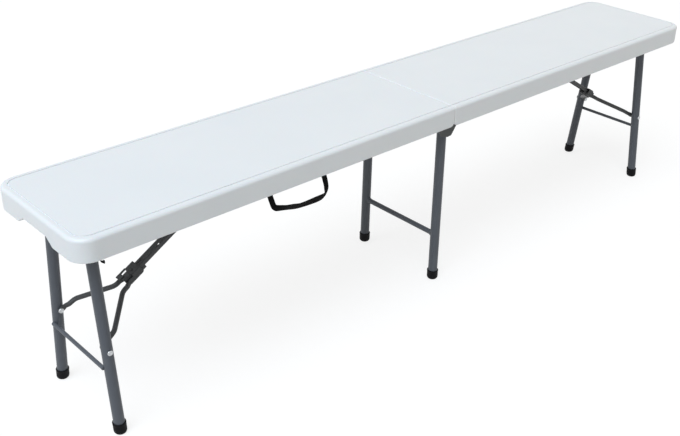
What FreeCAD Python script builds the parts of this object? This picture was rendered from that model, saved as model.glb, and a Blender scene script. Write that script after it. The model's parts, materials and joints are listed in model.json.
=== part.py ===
# Folding bench: two white seat halves that meet at the middle, tubular legs at both ends and
# under the middle, and toggle braces that hold the end legs upright.
#
# Frame: X runs along the bench, Y across it with the near side at -Y, Z up.
# The origin lies on the floor under the middle of the bench. All sizes are in millimetres.
# The left half (-X) is modelled and the right half is its mirror image, apart from the
# hinge brackets at the middle, the carry handle and the travel latch.

import FreeCAD, Part
import math
import os
import re
import Sketcher

Vector = FreeCAD.Vector

SIZES = [
    ("bench_length", 1830, "length over both halves, unfolded"),
    ("bench_width", 300, "width of the seat"),
    ("bench_height", 450, "height of the seat's top"),
    ("seat_gap", 1, "gap between the two halves"),
    ("skirt_depth", 46, "depth of the seat's rim"),
    ("deck_thick", 14, "thickness of the seat's top"),
    ("skirt_thick", 10, "wall along the long sides"),
    ("end_thick", 12, "wall at the ends and at the middle"),
    ("corner_radius", 38, "outer corners in plan"),
    ("edge_radius", 7, "rounding of the top edges"),
    ("rim_radius", 2.2, "rounding of the rim's bottom edge"),
    ("middle_foot_radius", 11, "bottom corner of a half where the halves meet"),
    ("line_inset", 12, "inset of the moulded line in the top"),
    ("line_width", 2.2, "width of the moulded line"),
    ("line_depth", 1.5, "depth of the moulded line"),
    ("notch_foot", 124, "hand hold in the end, width at the bottom"),
    ("notch_head", 84, "hand hold in the end, width at the top"),
    ("notch_height", 14, "height of the hand hold"),
    ("axle_gap", 2.5, "end leg's tube below its cross strap"),
    ("leg_inset", 63, "end leg axle from the end of the bench"),
    ("foot_inset", 39, "middle of an end leg's foot from the bench's edge"),
    ("leg_splay", 0.10125, "sideways slope of an end leg"),
    ("tube_diameter", 22, "outer diameter of the leg tubes"),
    ("tube_wall", 1.2, "wall of the leg tubes"),
    ("bend_radius", 35, "bend at the top of an end leg, to the tube's axis"),
    ("foot_diameter", 26, "outer diameter of a rubber foot"),
    ("foot_height", 24, "height of a rubber foot"),
    ("foot_floor", 4, "rubber under the tube"),
    ("foot_chamfer", 3, "bevel at the base of a foot"),
    ("end_rod_height", 145, "height of the end leg's cross rod"),
    ("end_rod_inset", 3, "end cross rod's ends inside the legs' middle lines"),
    ("end_rod_diameter", 8, "diameter of the end leg's cross rod"),
    ("end_rod_offset", 11.5, "cross rod's axis outside the leg's axis"),
    ("rivet_height", 179, "height of the rivets that hold the brace arms"),
    ("rivet_diameter", 6, "shank of the brace rivets"),
    ("rivet_head", 11, "head of the brace rivets"),
    ("rivet_head_thick", 2.2, "thickness of the rivet heads"),
    ("link_span", 400, "from the end leg's axle to the brace link's anchor"),
    ("sheet", 2, "thickness of the pressed steel parts"),
    ("running_gap", 0.05, "radial clearance of a pin in its hole"),
    ("spare", 1, "reach of a cutting shape past what it cuts"),
    ("side_gap", 0.4, "clearance beside parts that turn or slide"),
    ("rail_inset", 13.5, "outer face of a side rail from the seat's edge"),
    ("rail_lift", 8, "bottom of a side rail above the seat's rim"),
    ("rail_flange", 14.5, "flange of a side rail under the deck"),
    ("rail_outer", 35, "end of a side rail from the end of the bench"),
    ("rail_inner", 38, "end of a side rail from the middle"),
    ("strap_width", 30, "width of the cross straps"),
    ("hinge_strap_place", 62, "middle of the hinge's cross strap from the middle"),
    ("hinge_drop", 1.5, "hinge axis below the seat's rim"),
    ("hinge_pin_diameter", 8, "diameter of the hinge pins"),
    ("hinge_head", 14, "heads of the hinge pins"),
    ("hinge_head_thick", 1.8, "thickness of the hinge pins' heads"),
    ("cheek", 2.5, "thickness of the hinge brackets' cheeks"),
    ("bracket_tail", 14, "height of a hinge bracket at its tail"),
    ("bracket_break", 3, "end of a hinge bracket's top from the middle"),
    ("hinge_reach", 26, "largest radius of the inner bracket round the pin"),
    ("hinge_cover", 31, "largest radius of the outer bracket round the pin"),
    ("bracket_gap", 2, "space between the mid leg and its bracket"),
    ("mid_foot_inset", 32, "middle of the mid leg's foot from the bench's edge"),
    ("mid_splay", 0.00875, "sideways slope of the mid leg"),
    ("mid_bar_height", 119, "height of the mid leg's cross bar"),
    ("mid_bar_diameter", 12, "diameter of the mid leg's cross bar"),
    ("stop_pin_diameter", 5, "pin that stops the mid leg upright"),
    ("stop_pin_drop", 17, "that pin below the hinge's axis"),
    ("link_width", 16, "outer width of the brace link"),
    ("link_top", 11, "top of the brace link above its pins"),
    ("link_ear", 5, "bottom of the link's sides below its pins"),
    ("link_edge", -1.5, "bottom of the link's sides between the pins, below them"),
    ("link_ear_length", 14, "deep part of the link's sides, from a pin"),
    ("link_sheet", 1.6, "thickness of the brace link"),
    ("link_tongue", 36, "brace link beyond its joint with the arms"),
    ("link_tail", 8, "brace link beyond its anchor pin"),
    ("tongue_radius", 4.6, "rounding below the link's tongue"),
    ("link_hole", 4.5, "round hole in the brace link"),
    ("link_hole_place", 60, "that hole from the joint with the arms"),
    ("link_hole_side", 4, "that hole from the link's centre line"),
    ("anchor_length", 24, "length of the brace anchor along the bench"),
    ("anchor_screw_place", 6, "brace anchor's screws from its pin, along the bench"),
    ("arm_diameter", 10, "diameter of the brace arms"),
    ("arm_bend", 20, "bend radius of the brace arms"),
    ("arm_head_thick", 3.5, "thickness of a brace arm's flattened head"),
    ("arm_head_height", 10.5, "height of a brace arm's flattened head"),
    ("arm_head_length", 29.5, "length of the flattened head, from the joint"),
    ("arm_head_end", 42, "end of the round bar from the joint"),
    ("arm_lean", 2.2, "how far the arm's outer straight run leans inwards"),
    ("arm_set_in", 1.2, "how far the round bar stands inside the flattened tip's outer face"),
    ("arm_clearance", 1.6, "space between a brace arm's tip and the leg"),
    ("arm_tip_length", 10, "length of the flattened tip, from the rivet"),
    ("arm_tip_end", 20, "start of the round bar from the rivet"),
    ("arm_tip_thick", 3.5, "thickness of a brace arm's flattened tip"),
    ("arm_tip_height", 10.5, "height of a brace arm's flattened tip"),
    ("arm_knee", 34.5, "end of the arm's outer straight run from the rivet"),
    ("arm_neck", 52, "end of the arm's slanted run from the joint"),
    ("brace_pin_diameter", 6, "diameter of the pins in the brace"),
    ("lock_length", 21.5, "length of the sliding lock's saddle"),
    ("lock_reach", 3.5, "end of the lock beyond the brace's joint"),
    ("lock_drop", 1, "depth of the lock's sides below the joint's centre"),
    ("lock_sheet", 1.5, "thickness of the lock"),
    ("lock_travel", 25, "slide of the lock along the brace link"),
    ("loop_length", 23, "length of the finger loop on the lock"),
    ("loop_bar", 4.5, "width of the loop's side bar"),
    ("loop_side", 1.3, "loop beyond the lock's side"),
    ("loop_end", 11.5, "length of the loop's end plate"),
    ("stud_diameter", 4, "guide stud of the lock"),
    ("stud_head_thick", 1.2, "thickness of the stud's head"),
    ("stud_place", 4, "stud's slot from the end of the lock"),
    ("saddle_place", 28, "middle of a leg saddle from the centre line"),
    ("saddle_width", 16, "width of a leg saddle"),
    ("saddle_gap", 0.3, "clearance between tube and saddle"),
    ("saddle_flange", 14, "screwed flange of a saddle"),
    ("screw_diameter", 4, "thread of the deck screws"),
    ("screw_head", 8, "head of the deck screws"),
    ("screw_head_thick", 2.4, "thickness of the deck screws' heads"),
    ("screw_bite", 8, "deck screw inside the deck"),
    ("screw_edge", 4.5, "deck screw from the edge of a rail's flange"),
    ("small_screw", 3, "thread of the clip screws"),
    ("small_screw_head", 6, "head of the clip screws"),
    ("small_screw_head_thick", 1.8, "thickness of the clip screws' heads"),
    ("small_bite", 7, "clip screws and latch pins inside the rim"),
    ("handle_left", 504, "left end of the carry handle from the middle"),
    ("handle_right", 368, "right end of the carry handle from the middle"),
    ("handle_inset", 13.4, "handle's bar from the seat's edge"),
    ("handle_sag", 51.5, "lowest webbing below the clip bars"),
    ("webbing_width", 19, "width of the handle's webbing"),
    ("webbing_thick", 1.6, "thickness of the handle's webbing"),
    ("clip_wire", 2.4, "bar that carries the webbing"),
    ("clip_width", 26, "width of a handle clip"),
    ("clip_foot", 4, "clip's plate above its bar"),
    ("clip_ear", 8, "height of a clip's ears above its bar"),
    ("clip_drop", 6, "top of a clip below the deck"),
    ("clip_screw_drop", 15, "clip screw below the deck"),
    ("latch_place", 864, "latch pivot from the middle"),
    ("latch_lift", 11.5, "latch pivot above the seat's rim"),
    ("latch_thick", 2.8, "thickness of the latch"),
    ("latch_half", 5, "half the width of the latch"),
    ("latch_nose", 8.9, "latch beyond the catch pin"),
    ("latch_arm", 18.1, "latch pivot to the catch pin when it is hooked"),
    ("latch_swing", 15, "swing of the latch from stowed to hooked, degrees"),
    ("catch_diameter", 4, "diameter of the catch pin"),
]

# What follows from the sizes above. Each text is an expression in those names.
DERIVED = {
    "half_length": "bench_length / 2",
    "half_width": "bench_width / 2",
    "foot_spread": "bench_width - 2 * foot_inset",
    "mid_foot_spread": "bench_width - 2 * mid_foot_inset",
    "rim_z": "bench_height - skirt_depth",
    "deck_z": "bench_height - deck_thick",
    "leg_x": "half_length - leg_inset",
    "tube_radius": "tube_diameter / 2",
    "splay_angle": "atan(leg_splay)",
    "corner_y": "foot_spread / 2 - leg_splay * axle_z",
    "rivet_y": "foot_spread / 2 - leg_splay * rivet_height",
    "leg_inner_face": "rivet_y - tube_radius / cos(splay_angle)",
    "leg_outer_face": "rivet_y + tube_radius / cos(splay_angle)",
    "rivet_drop": "axle_z - rivet_height",
    "brace_length": "sqrt(link_span * link_span + rivet_drop * rivet_drop)",
    "arm_length": "(brace_length - link_span + rivet_drop) / 2",
    "brace_angle": "atan(rivet_drop / link_span)",
    "anchor_x": "leg_x - link_span",
    "rail_y": "half_width - rail_inset",
    "rail_foot": "rim_z + rail_lift",
    "rail_inner_y": "rail_y - rail_flange",
    "strap_z": "deck_z - sheet",
    "web_z": "deck_z - 2 * sheet",
    "axle_z": "web_z - axle_gap - tube_radius",
    "hinge_z": "rim_z - hinge_drop",
    "mid_tube_y": "mid_foot_spread / 2 - mid_splay * hinge_z",
    "mid_angle": "atan(mid_splay)",
    "inner_cheek": "mid_tube_y - tube_radius - bracket_gap",
    "outer_cheek": "mid_tube_y + tube_radius + bracket_gap",
    "cover_in": "inner_cheek - cheek - side_gap",
    "cover_out": "outer_cheek + cheek + side_gap",
    "arm_head_in": "link_width / 2 + side_gap",
    "arm_head_out": "arm_head_in + arm_head_thick",
    "arm_throat_y": "arm_head_in + arm_diameter / 2 + side_gap / 2",
    "arm_tip_out": "leg_inner_face - arm_clearance",
    "lock_in": "arm_head_out + side_gap",
    "lock_out": "lock_in + lock_sheet",
    "lock_head": "link_top + side_gap",
    "lock_far": "arm_length + lock_reach",
    "lock_near": "lock_far - lock_length",
    "brace_pin_radius": "brace_pin_diameter / 2",
    "anchor_cheek": "link_width / 2 + side_gap",
    "pin_end": "half_width - skirt_thick + small_bite",
    "handle_y": "half_width - handle_inset",
    "handle_z": "hinge_z",
    "clip_out": "half_width - skirt_thick - side_gap",
    "clip_in": "rail_y + side_gap",
    "latch_z": "rim_z + latch_lift",
    "catch_x": "latch_place - latch_arm * sin(latch_swing)",
    "catch_z": "2 * hinge_z - latch_z + latch_arm * cos(latch_swing)",
}

FUNCTIONS = ("sqrt", "atan", "sin", "cos", "tan")

doc = FreeCAD.newDocument("folding_bench")
sheet = doc.addObject("Spreadsheet::Sheet", "Sizes")
for row, (alias, number, meaning) in enumerate(SIZES, start=1):
    sheet.set("A%d" % row, meaning)
    sheet.set("B%d" % row, str(number))
    sheet.setAlias("B%d" % row, alias)
doc.recompute()

NUMBERS = {alias: sheet.get(alias) for alias, number, meaning in SIZES}
NODES = []


def spell(text):
    """Turn plain names in an expression into references to the sheet."""
    def swap(found):
        word = found.group(0)
        if word in FUNCTIONS:
            return word
        if word in DERIVED:
            return "(" + spell(DERIVED[word]) + ")"
        if word in NUMBERS:
            return "Sizes." + word
        raise ValueError("unknown size: " + word)
    return re.sub(r"[a-z][a-z_]*", swap, str(text))


def bind(item, prop, text):
    """Bind one property to an expression in the sheet's names."""
    item.setExpression(prop, spell(text))


def number(text):
    """The present value of an expression, read from a point bound to it."""
    probe = doc.addObject("Part::Vertex", "probe")
    bind(probe, "X", text)
    probe.recompute()
    reading = probe.X.Value
    doc.removeObject(probe.Name)
    return reading


def node(item, label):
    """Name a finished piece and keep it for the parts folder."""
    item.Label = label
    NODES.append(item)
    return item


def box(x, y, z):
    """A block between two expressions along each axis."""
    block = doc.addObject("Part::Box", "block")
    for side, letter, (low, high) in zip(("Length", "Width", "Height"), "xyz", (x, y, z)):
        bind(block, side, "(%s) - (%s)" % (high, low))
        bind(block, "Placement.Base." + letter, low)
    return block


TURNS = {
    "x": FreeCAD.Rotation(Vector(0, 1, 0), 90),
    "y": FreeCAD.Rotation(Vector(1, 0, 0), -90),
    "z": FreeCAD.Rotation(),
}


def rod(axis, low, high, centre, diameter):
    """A round bar along an axis; centre gives the other two places in X, Y, Z order."""
    bar = doc.addObject("Part::Cylinder", "bar")
    bar.Placement = FreeCAD.Placement(Vector(), TURNS[axis])
    bind(bar, "Radius", "(%s) / 2" % diameter)
    bind(bar, "Height", "(%s) - (%s)" % (high, low))
    others = [letter for letter in "xyz" if letter != axis]
    bind(bar, "Placement.Base." + axis, low)
    for letter, place in zip(others, centre):
        bind(bar, "Placement.Base." + letter, place)
    return bar


def fuse(*pieces):
    """One solid from pieces that touch."""
    joined = doc.addObject("Part::MultiFuse", "joined")
    joined.Shapes = list(pieces)
    joined.Refine = True
    return joined


def group(*pieces):
    """Separate solids kept together in one object."""
    together = doc.addObject("Part::Compound", "together")
    together.Links = list(pieces)
    return together


def cut(base, *tools):
    """A piece with other pieces taken away."""
    result = doc.addObject("Part::Cut", "trimmed")
    result.Base = base
    result.Tool = tools[0] if len(tools) == 1 else group(*tools)
    return result


def common(base, tool):
    """What two pieces share."""
    result = doc.addObject("Part::Common", "shared")
    result.Base = base
    result.Tool = tool
    return result


def mirror(item, axis):
    """The mirror image of a piece across the plane through the origin."""
    image = doc.addObject("Part::Mirroring", "image")
    image.Source = item
    image.Base = Vector()
    image.Normal = {"x": Vector(1, 0, 0), "y": Vector(0, 1, 0)}[axis]
    return image


def both_sides(item):
    """A piece and its image across the bench's long centre plane, as one group."""
    return group(item, mirror(item, "y"))


def origin_plane(body, role):
    """One of a body's own three planes."""
    return [item for item in body.Origin.OriginFeatures if item.Role == role][0]


def sketch_on(body, role, offset="0"):
    """An empty sketch on one of the body's own planes, moved along its normal."""
    sketch = body.newObject("Sketcher::SketchObject", "outline")
    sketch.AttachmentSupport = [(origin_plane(body, role), "")]
    sketch.MapMode = "FlatFace"
    bind(sketch, "AttachmentOffset.Base.z", offset)
    return sketch


def pin_point(sketch, line, end, across, up):
    """Hold one end of a line at a place given by two expressions."""
    for kind, place in (("DistanceX", across), ("DistanceY", up)):
        index = sketch.addConstraint(Sketcher.Constraint(kind, -1, 1, line, end, 1.0))
        bind(sketch, "Constraints[%d]" % index, place)


def draw(sketch, points):
    """A closed outline through points given as pairs of expressions."""
    first = sketch.GeometryCount
    count = len(points)
    ring = []
    for step in range(count):
        angle = 2 * math.pi * step / count
        ring.append(Vector(math.cos(angle), math.sin(angle), 0))
    for step in range(count):
        line = Part.LineSegment(ring[step], ring[(step + 1) % count])
        sketch.addGeometry(line, False)
    for step in range(count):
        following = first + (step + 1) % count
        sketch.addConstraint(Sketcher.Constraint("Coincident", first + step, 2, following, 1))
    for step, (across, up) in enumerate(points):
        pin_point(sketch, first + step, 1, across, up)


def corners(x, y):
    """The four corners of a rectangle."""
    return [(x[0], y[0]), (x[1], y[0]), (x[1], y[1]), (x[0], y[1])]


def add_pad(body, sketch, length):
    """Thicken a sketch along its normal."""
    pad = body.newObject("PartDesign::Pad", "pad")
    pad.Profile = sketch
    bind(pad, "Length", length)
    body.Tip = pad
    doc.recompute()
    return pad


def add_pocket(body, sketch, depth, forward=False):
    """Cut a sketch into the body, and make sure that it took material away."""
    before = body.Shape.Volume
    pocket = body.newObject("PartDesign::Pocket", "pocket")
    pocket.Profile = sketch
    pocket.Reversed = forward
    bind(pocket, "Length", depth)
    body.Tip = pocket
    doc.recompute()
    if body.Shape.Volume >= before:
        raise RuntimeError("a pocket cut nothing in " + body.Label)
    return pocket


def add_fillet(body, chosen, radius):
    """Round the edges that a test picks from the body's present shape."""
    names = []
    for index, edge in enumerate(body.Shape.Edges, start=1):
        if chosen(edge, edge.BoundBox):
            names.append("Edge%d" % index)
    if not names:
        raise RuntimeError("no edge to round in " + body.Label)
    base = body.Tip
    fillet = body.newObject("PartDesign::Fillet", "rounding")
    fillet.Base = (base, names)
    bind(fillet, "Radius", radius)
    body.Tip = fillet
    doc.recompute()
    return fillet


def new_body(label):
    """An empty body."""
    body = doc.addObject("PartDesign::Body", "Body")
    body.Label = label
    return body


def plate(label, role, outline, low, high):
    """A flat piece between two places along the normal axis of a plane."""
    body = new_body(label)
    if role == "XZ_Plane":
        sketch = sketch_on(body, role, "-(%s)" % high)
    else:
        sketch = sketch_on(body, role, low)
    draw(sketch, outline)
    add_pad(body, sketch, "(%s) - (%s)" % (high, low))
    return body


def near(one, other, slack=0.01):
    """True where two lengths agree."""
    return abs(one - other) < slack


def runs_along(edge, axis):
    """True for a straight edge parallel to an axis."""
    if not isinstance(edge.Curve, Part.Line):
        return False
    return abs(abs(edge.tangentAt(edge.FirstParameter).dot(axis)) - 1) < 1e-6


AXIS_X = Vector(1, 0, 0)
AXIS_Y = Vector(0, 1, 0)
AXIS_Z = Vector(0, 0, 1)


def place_in_brace(item):
    """Lay a piece drawn along X from the brace's rivets onto the sloping brace."""
    item.Placement = FreeCAD.Placement(Vector(), FreeCAD.Rotation(-AXIS_Y, 1))
    bind(item, "Placement.Base.x", "-leg_x")
    bind(item, "Placement.Base.z", "rivet_height")
    bind(item, "Placement.Rotation.Angle", "brace_angle")
    return item


# Seat half


def seat_half():
    """The blow-moulded half: deck, rim, hand hold, moulded line and hinge windows."""
    middle = number("-seat_gap / 2")
    end = number("-half_length")
    rim = number("rim_z")
    top = number("bench_height")
    wall_end = number("end_thick + spare - half_length")
    middle_reach = number("middle_foot_radius + spare")
    body = new_body("seat blank")
    outline = sketch_on(body, "XY_Plane", "rim_z")
    draw(outline, corners(("-half_length", "-seat_gap / 2"), ("-half_width", "half_width")))
    add_pad(body, outline, "skirt_depth")
    add_fillet(body, lambda edge, at: runs_along(edge, AXIS_Z) and near(at.XMin, end), "corner_radius")
    add_fillet(body, lambda edge, at: near(at.ZMax, rim) and near(at.XMin, middle), "middle_foot_radius")

    notch = sketch_on(body, "YZ_Plane", "-half_length - spare")
    notch_top = "rim_z + notch_height"
    draw(notch, [
        ("-notch_foot / 2", "rim_z"),
        ("notch_foot / 2", "rim_z"),
        ("notch_head / 2", notch_top),
        ("-notch_head / 2", notch_top),
    ])
    add_pocket(body, notch, "end_thick + 2 * spare", forward=True)
    in_notch = lambda edge, at: runs_along(edge, AXIS_X) and near(at.XMax, wall_end)
    add_fillet(body, in_notch, "0.8 * notch_height")

    add_fillet(body, lambda edge, at: near(at.ZMin, top) and not near(at.XMin, middle), "edge_radius")
    on_rim = lambda edge, at: near(at.ZMax, rim) and not near(at.XMin, middle, middle_reach)
    add_fillet(body, lambda edge, at: on_rim(edge, at) and not near(at.XMax, wall_end), "rim_radius")

    line = sketch_on(body, "XY_Plane", "bench_height")
    draw_moulded_line(line)
    add_pocket(body, line, "line_depth")

    window_x = ("-seat_gap / 2 - end_thick - spare", "spare")
    window_y = ("cover_in - 2 * cheek", "cover_out + 2 * cheek")
    window = box(window_x, window_y, ("rim_z - spare", "deck_z"))
    return cut(body, seat_well(), window, mirror(window, "y"))


def seat_well():
    """The space under the deck, inside the rim."""
    body = new_body("well")
    outline = sketch_on(body, "XY_Plane", "rim_z - spare")
    draw(outline, corners(
        ("end_thick - half_length", "-seat_gap / 2 - end_thick"),
        ("skirt_thick - half_width", "half_width - skirt_thick"),
    ))
    add_pad(body, outline, "skirt_depth - deck_thick + spare")
    outer = number("end_thick - half_length")
    upright = lambda edge: runs_along(edge, AXIS_Z)
    add_fillet(body, lambda edge, at: upright(edge) and near(at.XMin, outer), "corner_radius - skirt_thick")
    add_fillet(body, lambda edge, at: upright(edge) and not near(at.XMin, outer), "edge_radius")
    return body


def draw_moulded_line(sketch):
    """A thin ring along the long sides and the outer end, open towards the middle.

    A corner is three chords; a chord's end is set back from the corner of the straight
    sides by shares of the radius, which follow from its angle.
    """
    shares = []
    for degrees in (0, 30, 60, 90):
        angle = math.radians(degrees)
        shares.append((1 - math.sin(angle), 1 - math.cos(angle)))
    tracks = []
    for inset in ("line_inset", "(line_inset + line_width)"):
        side = "(half_width - %s)" % inset
        end = "-(half_length - %s)" % inset
        cut_back = "(corner_radius - %s)" % inset
        points = []
        for share, drop in shares:
            points.append((
                "%s + %s * %.6f" % (end, cut_back, share),
                "-(%s - %s * %.6f)" % (side, cut_back, drop),
            ))
        mirrored = [(across, "-(%s)" % up) for across, up in reversed(points)]
        start = [("spare", "-%s" % side)]
        finish = [("spare", side)]
        tracks.append(start + points + mirrored + finish)
    draw(sketch, tracks[0] + list(reversed(tracks[1])))


# Frame pieces that stay with a seat half


def side_rail():
    """Folded steel angle along the near side, under the deck."""
    outline = [
        ("-rail_y", "rail_foot"),
        ("sheet - rail_y", "rail_foot"),
        ("sheet - rail_y", "strap_z"),
        ("-rail_inner_y", "strap_z"),
        ("-rail_inner_y", "deck_z"),
        ("-rail_y", "deck_z"),
    ]
    return plate("rail blank", "YZ_Plane", outline, "rail_outer - half_length", "-rail_inner")


def cross_strap(place):
    """Flat steel strap across the half, under the rails' flanges."""
    reach = "(rail_y - sheet)"
    return box(
        ("-(%s) - strap_width / 2" % place, "-(%s) + strap_width / 2" % place),
        ("-" + reach, reach),
        ("web_z", "strap_z"),
    )


def leg_saddle():
    """Pressed saddle that holds the end leg's top tube, open upwards, with two flanges."""
    bore = "tube_radius + saddle_gap"
    shell = "(%s + sheet)" % bore
    side = ("-saddle_place - saddle_width / 2", "-saddle_place + saddle_width / 2")
    flange_z = ("web_z - sheet", "web_z")
    wrap = rod("y", side[0], side[1], ("-leg_x", "axle_z"), "2 * " + shell)
    walls = box(("-leg_x - " + shell, "-leg_x + " + shell), side, ("axle_z", "web_z"))
    flanges = box(
        ("-leg_x - %s - saddle_flange" % shell, "-leg_x + %s + saddle_flange" % shell),
        side,
        flange_z,
    )
    throat = box(
        ("-leg_x - (%s)" % bore, "-leg_x + (%s)" % bore),
        ("-saddle_place - saddle_width", "0"),
        ("axle_z", "strap_z"),
    )
    room = rod("y", "-saddle_place - saddle_width", "0", ("-leg_x", "axle_z"), "2 * (%s)" % bore)
    above = box(
        ("-leg_x - %s - spare" % shell, "-leg_x + %s + spare" % shell),
        ("-saddle_place - saddle_width", "0"),
        ("web_z", "deck_z"),
    )
    return cut(fuse(wrap, walls, flanges), throat, room, above)


def brace_anchor():
    """Pressed bracket with two cheeks that hold the brace link's upper pin."""
    wide = "(anchor_cheek + sheet)"
    along = ("-anchor_x - anchor_length / 2", "-anchor_x + anchor_length / 2")
    web = box(along, ("-" + wide, wide), ("web_z - sheet", "web_z"))
    cheeks = []
    for side in (("-" + wide, "-anchor_cheek"), ("anchor_cheek", wide)):
        cheek = box(along, side, ("axle_z", "web_z"))
        boss = rod("y", side[0], side[1], ("-anchor_x", "axle_z"), "anchor_length")
        cheeks += [cheek, boss]
    above = box(
        ("-anchor_x - anchor_length", "-anchor_x + anchor_length"),
        ("-" + wide, wide),
        ("web_z", "deck_z"),
    )
    bore = brace_pin("-anchor_x", "axle_z", "2 * link_width", "2 * running_gap")
    return cut(fuse(web, *cheeks), above, bore)


def brace_pin(along, height, length, extra="0"):
    """Round pin across the bench, centred on the long centre plane."""
    ends = ("-(%s) / 2" % length, "(%s) / 2" % length)
    return rod("y", ends[0], ends[1], (along, height), "brace_pin_diameter + %s" % extra)


def screw(along, across, head_z):
    """Pan-head screw upwards into the deck; head_z is the face that its head bears on."""
    shank = rod("z", head_z, "deck_z + screw_bite", (along, across), "screw_diameter")
    head = rod("z", "%s - screw_head_thick" % head_z, head_z, (along, across), "screw_head")
    return fuse(shank, head)


def deck_screws():
    """All screws that hold one half's frame to its deck."""
    screws = []
    for place in ("leg_x", "anchor_x", "hinge_strap_place"):
        for side in ("-1", "1"):
            screws.append(screw("-(%s)" % place, "%s * (rail_inner_y + screw_edge)" % side, "web_z"))
    flange = "(tube_radius + saddle_gap + sheet + saddle_flange / 2)"
    for side in ("-1", "1"):
        across = "%s * saddle_place" % side
        for way in ("-", "+"):
            screws.append(screw("-leg_x %s %s" % (way, flange), across, "(web_z - sheet)"))
        middle = "%s * mid_tube_y" % side
        screws.append(screw("-hinge_strap_place", middle, "(web_z - sheet)"))
    for way in ("-", "+"):
        screws.append(screw("-anchor_x %s anchor_screw_place" % way, "0", "(web_z - sheet)"))
    return group(*screws)


# Hinge at the middle


def hinge_pin():
    """Headed pin on the fold's axis through the brackets and the mid leg."""
    place = ("0", "hinge_z")
    outside = "(cover_out + cheek + side_gap / 2)"
    inside = "(cover_in - cheek - side_gap / 2)"
    shank = rod("y", "-%s" % outside, "-%s" % inside, place, "hinge_pin_diameter")
    outer = rod("y", "-(%s + hinge_head_thick)" % outside, "-%s" % outside, place, "hinge_head")
    inner = rod("y", "-%s" % inside, "-(%s - hinge_head_thick)" % inside, place, "hinge_head")
    return fuse(shank, outer, inner)


def hinge_hole(extra):
    """Bore for the hinge pin with a radial clearance."""
    ends = ("-(cover_out + 4 * cheek)", "-(cover_in - 4 * cheek)")
    return rod("y", ends[0], ends[1], ("0", "hinge_z"), "hinge_pin_diameter + 2 * %s" % extra)


def bracket_web(place_in, place_out, along):
    """Flat top of a hinge bracket, screwed under the hinge's cross strap."""
    return box(along, ("-(%s)" % place_out, "-(%s)" % place_in), ("web_z - sheet", "web_z"))


def left_bracket():
    """Inner hinge bracket, on the left half: two cheeks beside the mid leg."""
    tail = "-hinge_strap_place - strap_width / 2"
    lobe = [
        (tail, "web_z"),
        (tail, "web_z - bracket_tail"),
        ("-0.85 * hinge_reach", "hinge_z - 0.5 * hinge_reach"),
        ("-0.5 * hinge_reach", "hinge_z - 0.85 * hinge_reach"),
        ("0.5 * hinge_reach", "hinge_z - 0.85 * hinge_reach"),
        ("0.8 * hinge_reach", "hinge_z - 0.55 * hinge_reach"),
        ("0.8 * hinge_reach", "hinge_z + 0.2 * hinge_reach"),
        ("-bracket_break", "web_z - sheet"),
        ("-bracket_break", "web_z"),
    ]
    cheeks = [
        plate("cheek", "XZ_Plane", lobe, "-(outer_cheek + cheek)", "-outer_cheek"),
        plate("cheek", "XZ_Plane", lobe, "-inner_cheek", "-(inner_cheek - cheek)"),
    ]
    web = bracket_web("inner_cheek - cheek", "outer_cheek + cheek", (tail, "-bracket_break"))
    return cut(fuse(web, *cheeks), hinge_hole("running_gap"), stop_pin())


def right_bracket():
    """Outer hinge bracket, on the right half: its near cheek hides the mid leg's top."""
    tail = "hinge_strap_place + strap_width / 2"
    lobe = [
        (tail, "web_z"),
        ("bracket_break", "web_z"),
        ("bracket_break", "web_z - sheet"),
        ("-0.5 * hinge_cover", "hinge_z + 0.6 * hinge_cover"),
        ("-0.9 * hinge_cover", "hinge_z"),
        ("-0.9 * hinge_cover", "hinge_z - 0.38 * hinge_cover"),
        ("-0.65 * hinge_cover", "hinge_z - 0.75 * hinge_cover"),
        ("0", "hinge_z - 0.95 * hinge_cover"),
        ("0.38 * hinge_cover", "hinge_z - 0.92 * hinge_cover"),
        ("0.9 * hinge_cover", "hinge_z - 0.2 * hinge_cover"),
        (tail, "web_z - bracket_tail"),
    ]
    cheeks = [
        plate("cheek", "XZ_Plane", lobe, "-(cover_out + cheek)", "-cover_out"),
        plate("cheek", "XZ_Plane", lobe, "-cover_in", "-(cover_in - cheek)"),
    ]
    web = bracket_web("cover_in - cheek", "cover_out + cheek", ("bracket_break", tail))
    return cut(fuse(web, *cheeks), hinge_hole("running_gap"))


def stop_pin():
    """Pin between the inner bracket's cheeks that stops the mid leg upright."""
    along = "tube_radius + side_gap + stop_pin_diameter / 2"
    place = (along, "hinge_z - stop_pin_drop")
    return rod("y", "-(outer_cheek + cheek)", "-(inner_cheek - cheek)", place, "stop_pin_diameter")


# End leg


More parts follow.
